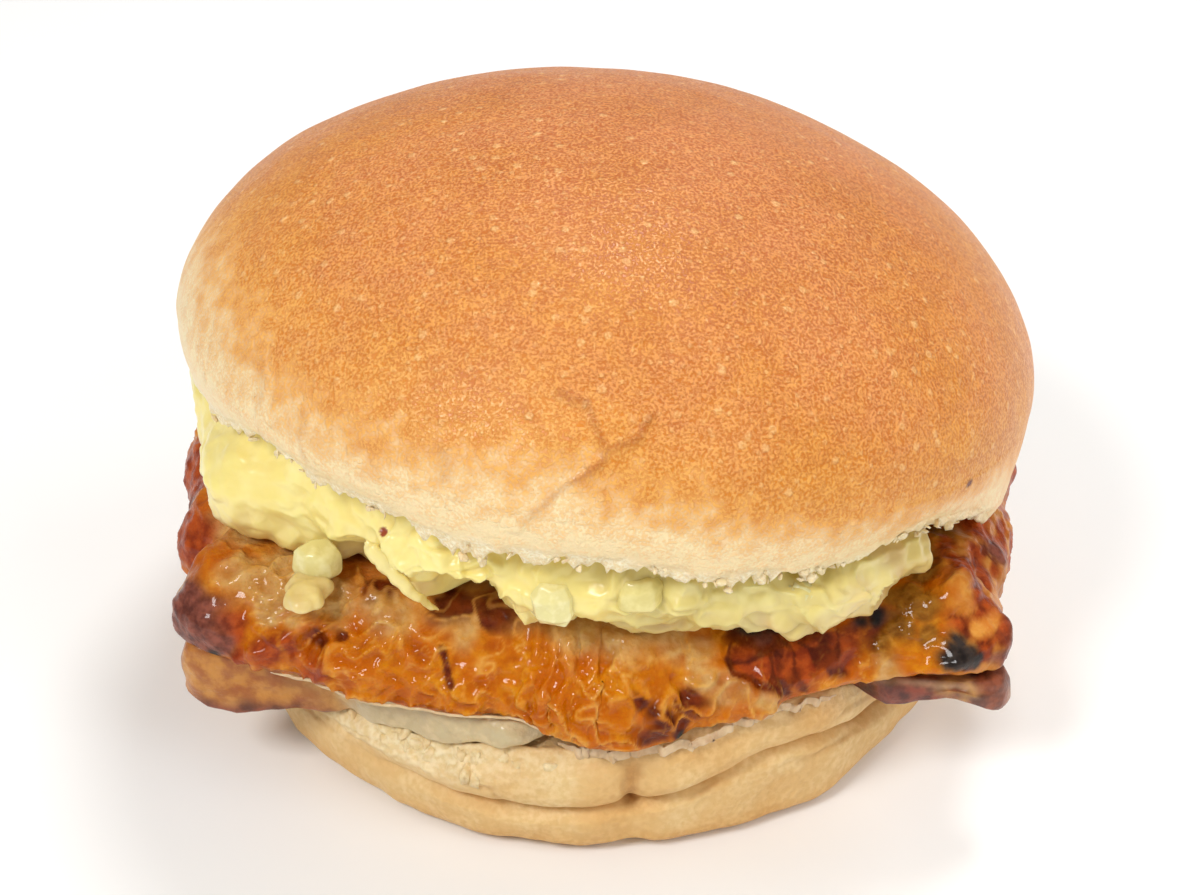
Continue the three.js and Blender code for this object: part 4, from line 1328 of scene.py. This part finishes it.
def scatterTree():
    tree, sockets, given = newTree("scatteredBits", {
        "Geometry": "Geometry", "Density": "Float", "Smallest": "Float", "Largest": "Float",
        "Flatness": "Float", "Sink": "Float", "Seed": "Int", "Shape": "Object",
        "Finish": "Material",
    })
    zone = addNode(tree, "GeometryNodeInputNamedAttribute", {"data_type": "FLOAT"}, {
        "Name": "zone"})
    density = addNode(tree, "ShaderNodeMath", times, [zone, given["Density"]])
    spots = addNode(tree, "GeometryNodeDistributePointsOnFaces", None, {
        "Mesh": given["Geometry"], "Density": density, "Seed": given["Seed"]})
    away = spots.node.outputs["Normal"]
    sink = addNode(tree, "ShaderNodeMath", times, [given["Sink"], -mm])
    inward = addNode(tree, "ShaderNodeVectorMath", {"operation": "SCALE"}, {0: away, "Scale": sink})
    spots = addNode(tree, "GeometryNodeSetPosition", None, {"Geometry": spots, "Offset": inward})
    size = addNode(tree, "FunctionNodeRandomValue", {"data_type": "FLOAT"}, [
        given["Smallest"], given["Largest"], None, given["Seed"]])
    size = addNode(tree, "ShaderNodeMath", times, [size, mm])
    flat = addNode(tree, "ShaderNodeMath", times, [size, given["Flatness"]])
    scale = addNode(tree, "ShaderNodeCombineXYZ", None, [size, size, flat])
    tumble = addNode(tree, "FunctionNodeRandomValue", {"data_type": "FLOAT_VECTOR"}, [
        (0, 0, 0), (fullTurn, fullTurn, fullTurn), None, given["Seed"]])
    tumble = addNode(tree, "FunctionNodeEulerToRotation", None, [tumble])
    shape = addNode(tree, "GeometryNodeObjectInfo", None, {"Object": given["Shape"]})
    shape = shape.node.outputs["Geometry"]
    bits = addNode(tree, "GeometryNodeInstanceOnPoints", None, {
        "Points": spots, "Instance": shape, "Rotation": tumble, "Scale": scale})
    endTree(tree, bits, given["Finish"])
    return tree, sockets


def looseShape(name, shape):
    mesh = bpy.data.meshes.new(name)
    shape.to_mesh(mesh)
    return bpy.data.objects.new(name, mesh)


def crumbShape():  # a ragged scrap about 1 across, before it is scaled
    flake = bmesh.new()
    bmesh.ops.create_icosphere(flake, subdivisions=2, radius=0.5)
    for vertex in flake.verts:
        vertex.co *= 1 + 0.55 * float(noise(np.array([vertex.co]) * 3, 1, 101)[0])
    return looseShape("crumbShape", flake)


def diceShape():  # a cut block about 1 across with softened edges
    dice = bmesh.new()
    bmesh.ops.create_cube(dice, size=0.9)
    bmesh.ops.bevel(dice, geom=dice.edges[:], offset=0.14, segments=2, affect="EDGES")
    return looseShape("diceShape", dice)


def scatter(name, carrier, zone, shape, finish, slot, sizes):
    piece = bpy.data.objects.new(name, carrier.data.copy())
    bpy.context.scene.collection.objects.link(piece)
    bpy.context.scene.collection.objects.link(shape)
    paint(piece, "zone", zone)
    tree, sockets = scatterTree()
    useTree(piece, tree, sockets, {**sizes, "Shape": shape, "Finish": finish})
    bpy.data.objects.remove(shape)
    piece.data.shade_smooth()
    present(piece, finish, slot)
    print(name, len(piece.data.polygons), "faces")
    return piece


# Flakes of bread torn along the lip of the crown, 0.5 to 1.4 mm
flakes = {
    "Density": 500000.0, "Smallest": 0.5, "Largest": 1.4, "Flatness": 0.3, "Sink": 0.3, "Seed": 7,
}
# Crumbs along the torn edge of the lower half, 0.8 to 3 mm
crumbs = {
    "Density": 320000.0, "Smallest": 0.8, "Largest": 3.0, "Flatness": 0.6, "Sink": 0.5, "Seed": 3,
}
# Bare bits of cut onion in the sauce, 2 to 3.6 mm
dice = {
    "Density": 6000.0, "Smallest": 2.0, "Largest": 3.6, "Flatness": 0.7, "Sink": 1.7, "Seed": 4,
}


def scatterFlakes(carrier):
    points = readPoints(carrier)
    lip = hump(readShare(carrier, "climb") - 0.16, 0.022)
    zone = lip * smooth(-0.5, 0.3, noise(points, 5, 102))
    zone *= 0.25 + 0.75 * frontness(turnOf(points))
    piece = scatter("lipFlakes", carrier, zone, crumbShape(), crustMaterial, "bun_crust", flakes)
    spots = readPoints(piece)
    paint(piece, "bake", 0.1 + 0.2 * noise(spots, 3, 103))
    paint(piece, "crumb", 0.7 + 0.3 * noise(spots, 2, 104))


def scatterCrumbs(carrier):
    points = readPoints(carrier)
    angle = turnOf(points)
    zone = hump(points[:, 2] - heelRim(angle) + 1.4, 1.5) * smooth(45, 48, reachOf(points))
    zone *= humps(angle, [(-112, 1, 14)]) + 0.12
    piece = scatter(
        "heelCrumbs", carrier, zone, crumbShape(), paleMaterial, "bun_pale_crust", crumbs)
    spots = readPoints(piece)
    paint(piece, "bake", 0.2 + 0.3 * noise(spots, 3, 105))
    paint(piece, "crumb", 0.6 + 0.4 * noise(spots, 2, 106))


def scatterOnion(carrier):
    points = readPoints(carrier)
    x, y, z = points.T
    place = turnOf(points) / degree
    zone = smooth(-2, 0, besideSauce(x, y)) * smooth(37.5, 39.5, z) * smooth(47, 45, z)
    zone *= 0.2 + smooth(-98, -92, place) * smooth(-36, -44, place)  # most at the front's right
    scatter("onionBits", carrier, zone, diceShape(), onionMaterial, "onion", dice)


scatterFlakes(bunTop)
scatterCrumbs(bunBottom)
scatterOnion(sauceLayer)
print("flakes, crumbs and onion bits scattered")


# Strips that follow a path: the sauce's drip and the thin edges of fat and skin

def stripTree():
    tree, sockets, given = newTree("stripAlongPath", {
        "Geometry": "Geometry", "Width": "Float", "Thickness": "Float", "End Share": "Float",
        "Ripple": "Float", "Ripple Length": "Float", "Finish": "Material",
    })
    path = addNode(tree, "GeometryNodeMeshToCurve", None, {"Mesh": given["Geometry"]})
    path = addNode(tree, "GeometryNodeCurveSplineType", {"spline_type": "CATMULL_ROM"}, {
        "Curve": path})
    path = addNode(tree, "GeometryNodeResampleCurve", {"mode": "LENGTH"}, {
        "Curve": path, "Length": 0.25 * mm})
    wave = addNode(tree, "ShaderNodeMath", times, [given["Ripple Length"], mm])
    wave = addNode(tree, "ShaderNodeMath", over, [1.0, wave])
    field = addNode(tree, "ShaderNodeTexNoise", None, {"Scale": wave, "Detail": 2.0})
    field = addNode(tree, "ShaderNodeVectorMath", {"operation": "SUBTRACT"}, [
        field.node.outputs["Color"], (0.5, 0.5, 0.5)])
    ripple = addNode(tree, "ShaderNodeMath", times, [given["Ripple"], 2 * mm])
    field = addNode(tree, "ShaderNodeVectorMath", {"operation": "SCALE"}, {
        0: field, "Scale": ripple})
    path = addNode(tree, "GeometryNodeSetPosition", None, {"Geometry": path, "Offset": field})
    along = addNode(tree, "GeometryNodeSplineParameter")
    radius = addNode(tree, "ShaderNodeMapRange", softSteps, [
        along, 0.0, 1.0, 1.0, given["End Share"]])
    ends = addNode(tree, "ShaderNodeMath", {"operation": "PINGPONG"}, [along, 0.5])
    ends = addNode(tree, "ShaderNodeMapRange", softSteps, [ends, 0.0, 0.08, 0.25, 1.0])
    radius = addNode(tree, "ShaderNodeMath", times, [radius, ends])
    profile = addNode(tree, "GeometryNodeCurvePrimitiveCircle", None, {
        "Resolution": 12, "Radius": 0.5 * mm})
    stretch = addNode(tree, "ShaderNodeCombineXYZ", None, [given["Thickness"], given["Width"], 1.0])
    profile = addNode(tree, "GeometryNodeTransform", None, {"Geometry": profile, "Scale": stretch})
    path = addNode(tree, "GeometryNodeSetCurveNormal", {"mode": "Z_UP"}, {"Curve": path})
    path = addNode(tree, "GeometryNodeSetCurveRadius", None, {"Curve": path, "Radius": radius})
    strip = addNode(tree, "GeometryNodeCurveToMesh", None, {
        "Curve": path, "Profile Curve": profile, "Fill Caps": True})
    if "Scale" in strip.node.inputs:
        tree.links.new(radius, strip.node.inputs["Scale"])
    endTree(tree, strip, given["Finish"])
    return tree, sockets


def makeStrip(name, path, finish, slot, sizes):
    edges = [(step, step + 1) for step in range(len(path) - 1)]
    piece = newObject(name, path, [], edges)
    tree, sockets = stripTree()
    useTree(piece, tree, sockets, {**sizes, "Finish": finish})
    piece.data.shade_smooth()
    present(piece, finish, slot)
    print(name, len(piece.data.polygons), "faces")
    return piece


# The thin ruffled edge of fat that stands on the bun's rim, at the right of the front
ruffle = {
    "Width": 1.9, "Thickness": 0.3, "End Share": 0.6, "Ripple": 1.3, "Ripple Length": 2.0,
}
rufflePath = [
    (-5, -49.4, 18.2), (0, -51, 18.8), (5, -51.2, 19), (11.2, -50.6, 19.6), (14.3, -49.6, 20.2),
    (17.5, -48.4, 20.8), (20.6, -47, 21.2), (23.9, -45.4, 21.1), (27.2, -43.4, 20.4),
    (30, -41.4, 19.5),
]
# The pale cut edge of the skin over the lower fold, at the left of the front. Its pale line is also
# a painted highlight where the wet edge catches light
skinEdge = {
    "Width": 0.5, "Thickness": 0.4, "End Share": 0.7, "Ripple": 0.4, "Ripple Length": 2.5,
}
# The twisted tongue of sauce that hangs down on to the skin
drip = {
    "Width": 2.7, "Thickness": 1.7, "End Share": 0.3, "Ripple": 0.7, "Ripple Length": 3.0,
}
dripPath = [
    (-28, -43.6, 45.8), (-25.6, -45, 43.4), (-23.6, -45.8, 41), (-22, -45.2, 38.6),
    (-20.8, -44.4, 36.6), (-19.8, -43.6, 35),
]


def skinEdgePath():
    angles = np.radians(np.linspace(-136, -97, 18))
    around = placeAt(chicken["middle"], angles, chickenOutline(angles) + 0.25)
    return np.stack([*around, chicken["underside"] - chickenHang(angles) + 0.5], -1)


def makeStrips():
    piece = makeStrip("fatRuffle", rufflePath, meatMaterial, "chicken_meat", ruffle)
    paint(piece, "edge", 0.8 + 0.2 * noise(readPoints(piece), 2, 111))
    piece = makeStrip("skinEdge", skinEdgePath(), meatMaterial, "chicken_meat", skinEdge)
    # Pale: the cut skin's own colour and a painted highlight along its wet edge
    paint(piece, "edge", np.full(len(piece.data.vertices), 0.5))
    piece = makeStrip("sauceDrip", dripPath, sauceMaterial, "yellow_sauce", drip)
    paint(piece, "thin", np.full(len(piece.data.vertices), 0.3))


makeStrips()
print("strips made")


# Floor, light and camera

camera = {"at": (0, -249.23, 203.06), "aim": (0, 0, 28.99), "lens": 65.1, "sensor": 36}
studio = {
    "floorWidth": 5000, "floorColor": "#f6f5f3", "floorRoughness": 0.9, "skyStrength": 0.36,
    "lightAim": (0, 0, 40),
}
lights = {  # glints: whether the gloss shows the lamp
    "keyLight": {"at": (-350, -420, 620), "size": 240, "power": 3.3, "glints": True},
    "fillLight": {"at": (450, -350, 480), "size": 400, "power": 1.5, "glints": False},
    "topLight": {"at": (130, 270, 700), "size": 220, "power": 2.2, "glints": True},
    "sideLight": {"at": (520, 200, 480), "size": 300, "power": 0.8, "glints": False},
}


def makeStage():
    half = studio["floorWidth"] / 2
    corners = [(-half, -half, 0), (half, -half, 0), (half, half, 0), (-half, half, 0)]
    floor = newObject("floor", corners, [(0, 1, 2, 3)])
    painted = {
        "Base Color": hexColor(studio["floorColor"]), "Roughness": studio["floorRoughness"],
    }
    floor.data.materials.append(newMaterial("paleFloor", painted)[0])
    world = bpy.context.scene.world or bpy.data.worlds.new("studio")
    bpy.context.scene.world = world
    world.use_nodes = True
    sky = world.node_tree.nodes["Background"]
    sky.inputs["Color"].default_value = (1, 1, 1, 1)
    sky.inputs["Strength"].default_value = studio["skyStrength"]


def aimAt(item, target):
    direction = np.array(target) * mm - np.array(item.location)
    item.rotation_euler = Vector(direction).to_track_quat("-Z", "Y").to_euler()


def makeLight(name, lamp):
    light = bpy.data.lights.new(name, "AREA")
    light.shape = "DISK"
    light.size = lamp["size"] * mm
    light.energy = lamp["power"]
    item = bpy.data.objects.new(name, light)
    item.visible_glossy = lamp["glints"]
    item.location = [part * mm for part in lamp["at"]]
    bpy.context.scene.collection.objects.link(item)
    aimAt(item, studio["lightAim"])


def makeCamera():
    data = bpy.data.cameras.new("photoCamera")
    data.lens = camera["lens"]
    data.sensor_width = camera["sensor"]
    item = bpy.data.objects.new("photoCamera", data)
    item.location = [part * mm for part in camera["at"]]
    bpy.context.scene.collection.objects.link(item)
    aimAt(item, camera["aim"])
    bpy.context.scene.camera = item


makeStage()
for lightName, lightValues in lights.items():
    makeLight(lightName, lightValues)
makeCamera()
bpy.context.scene.view_settings.view_transform = "Standard"
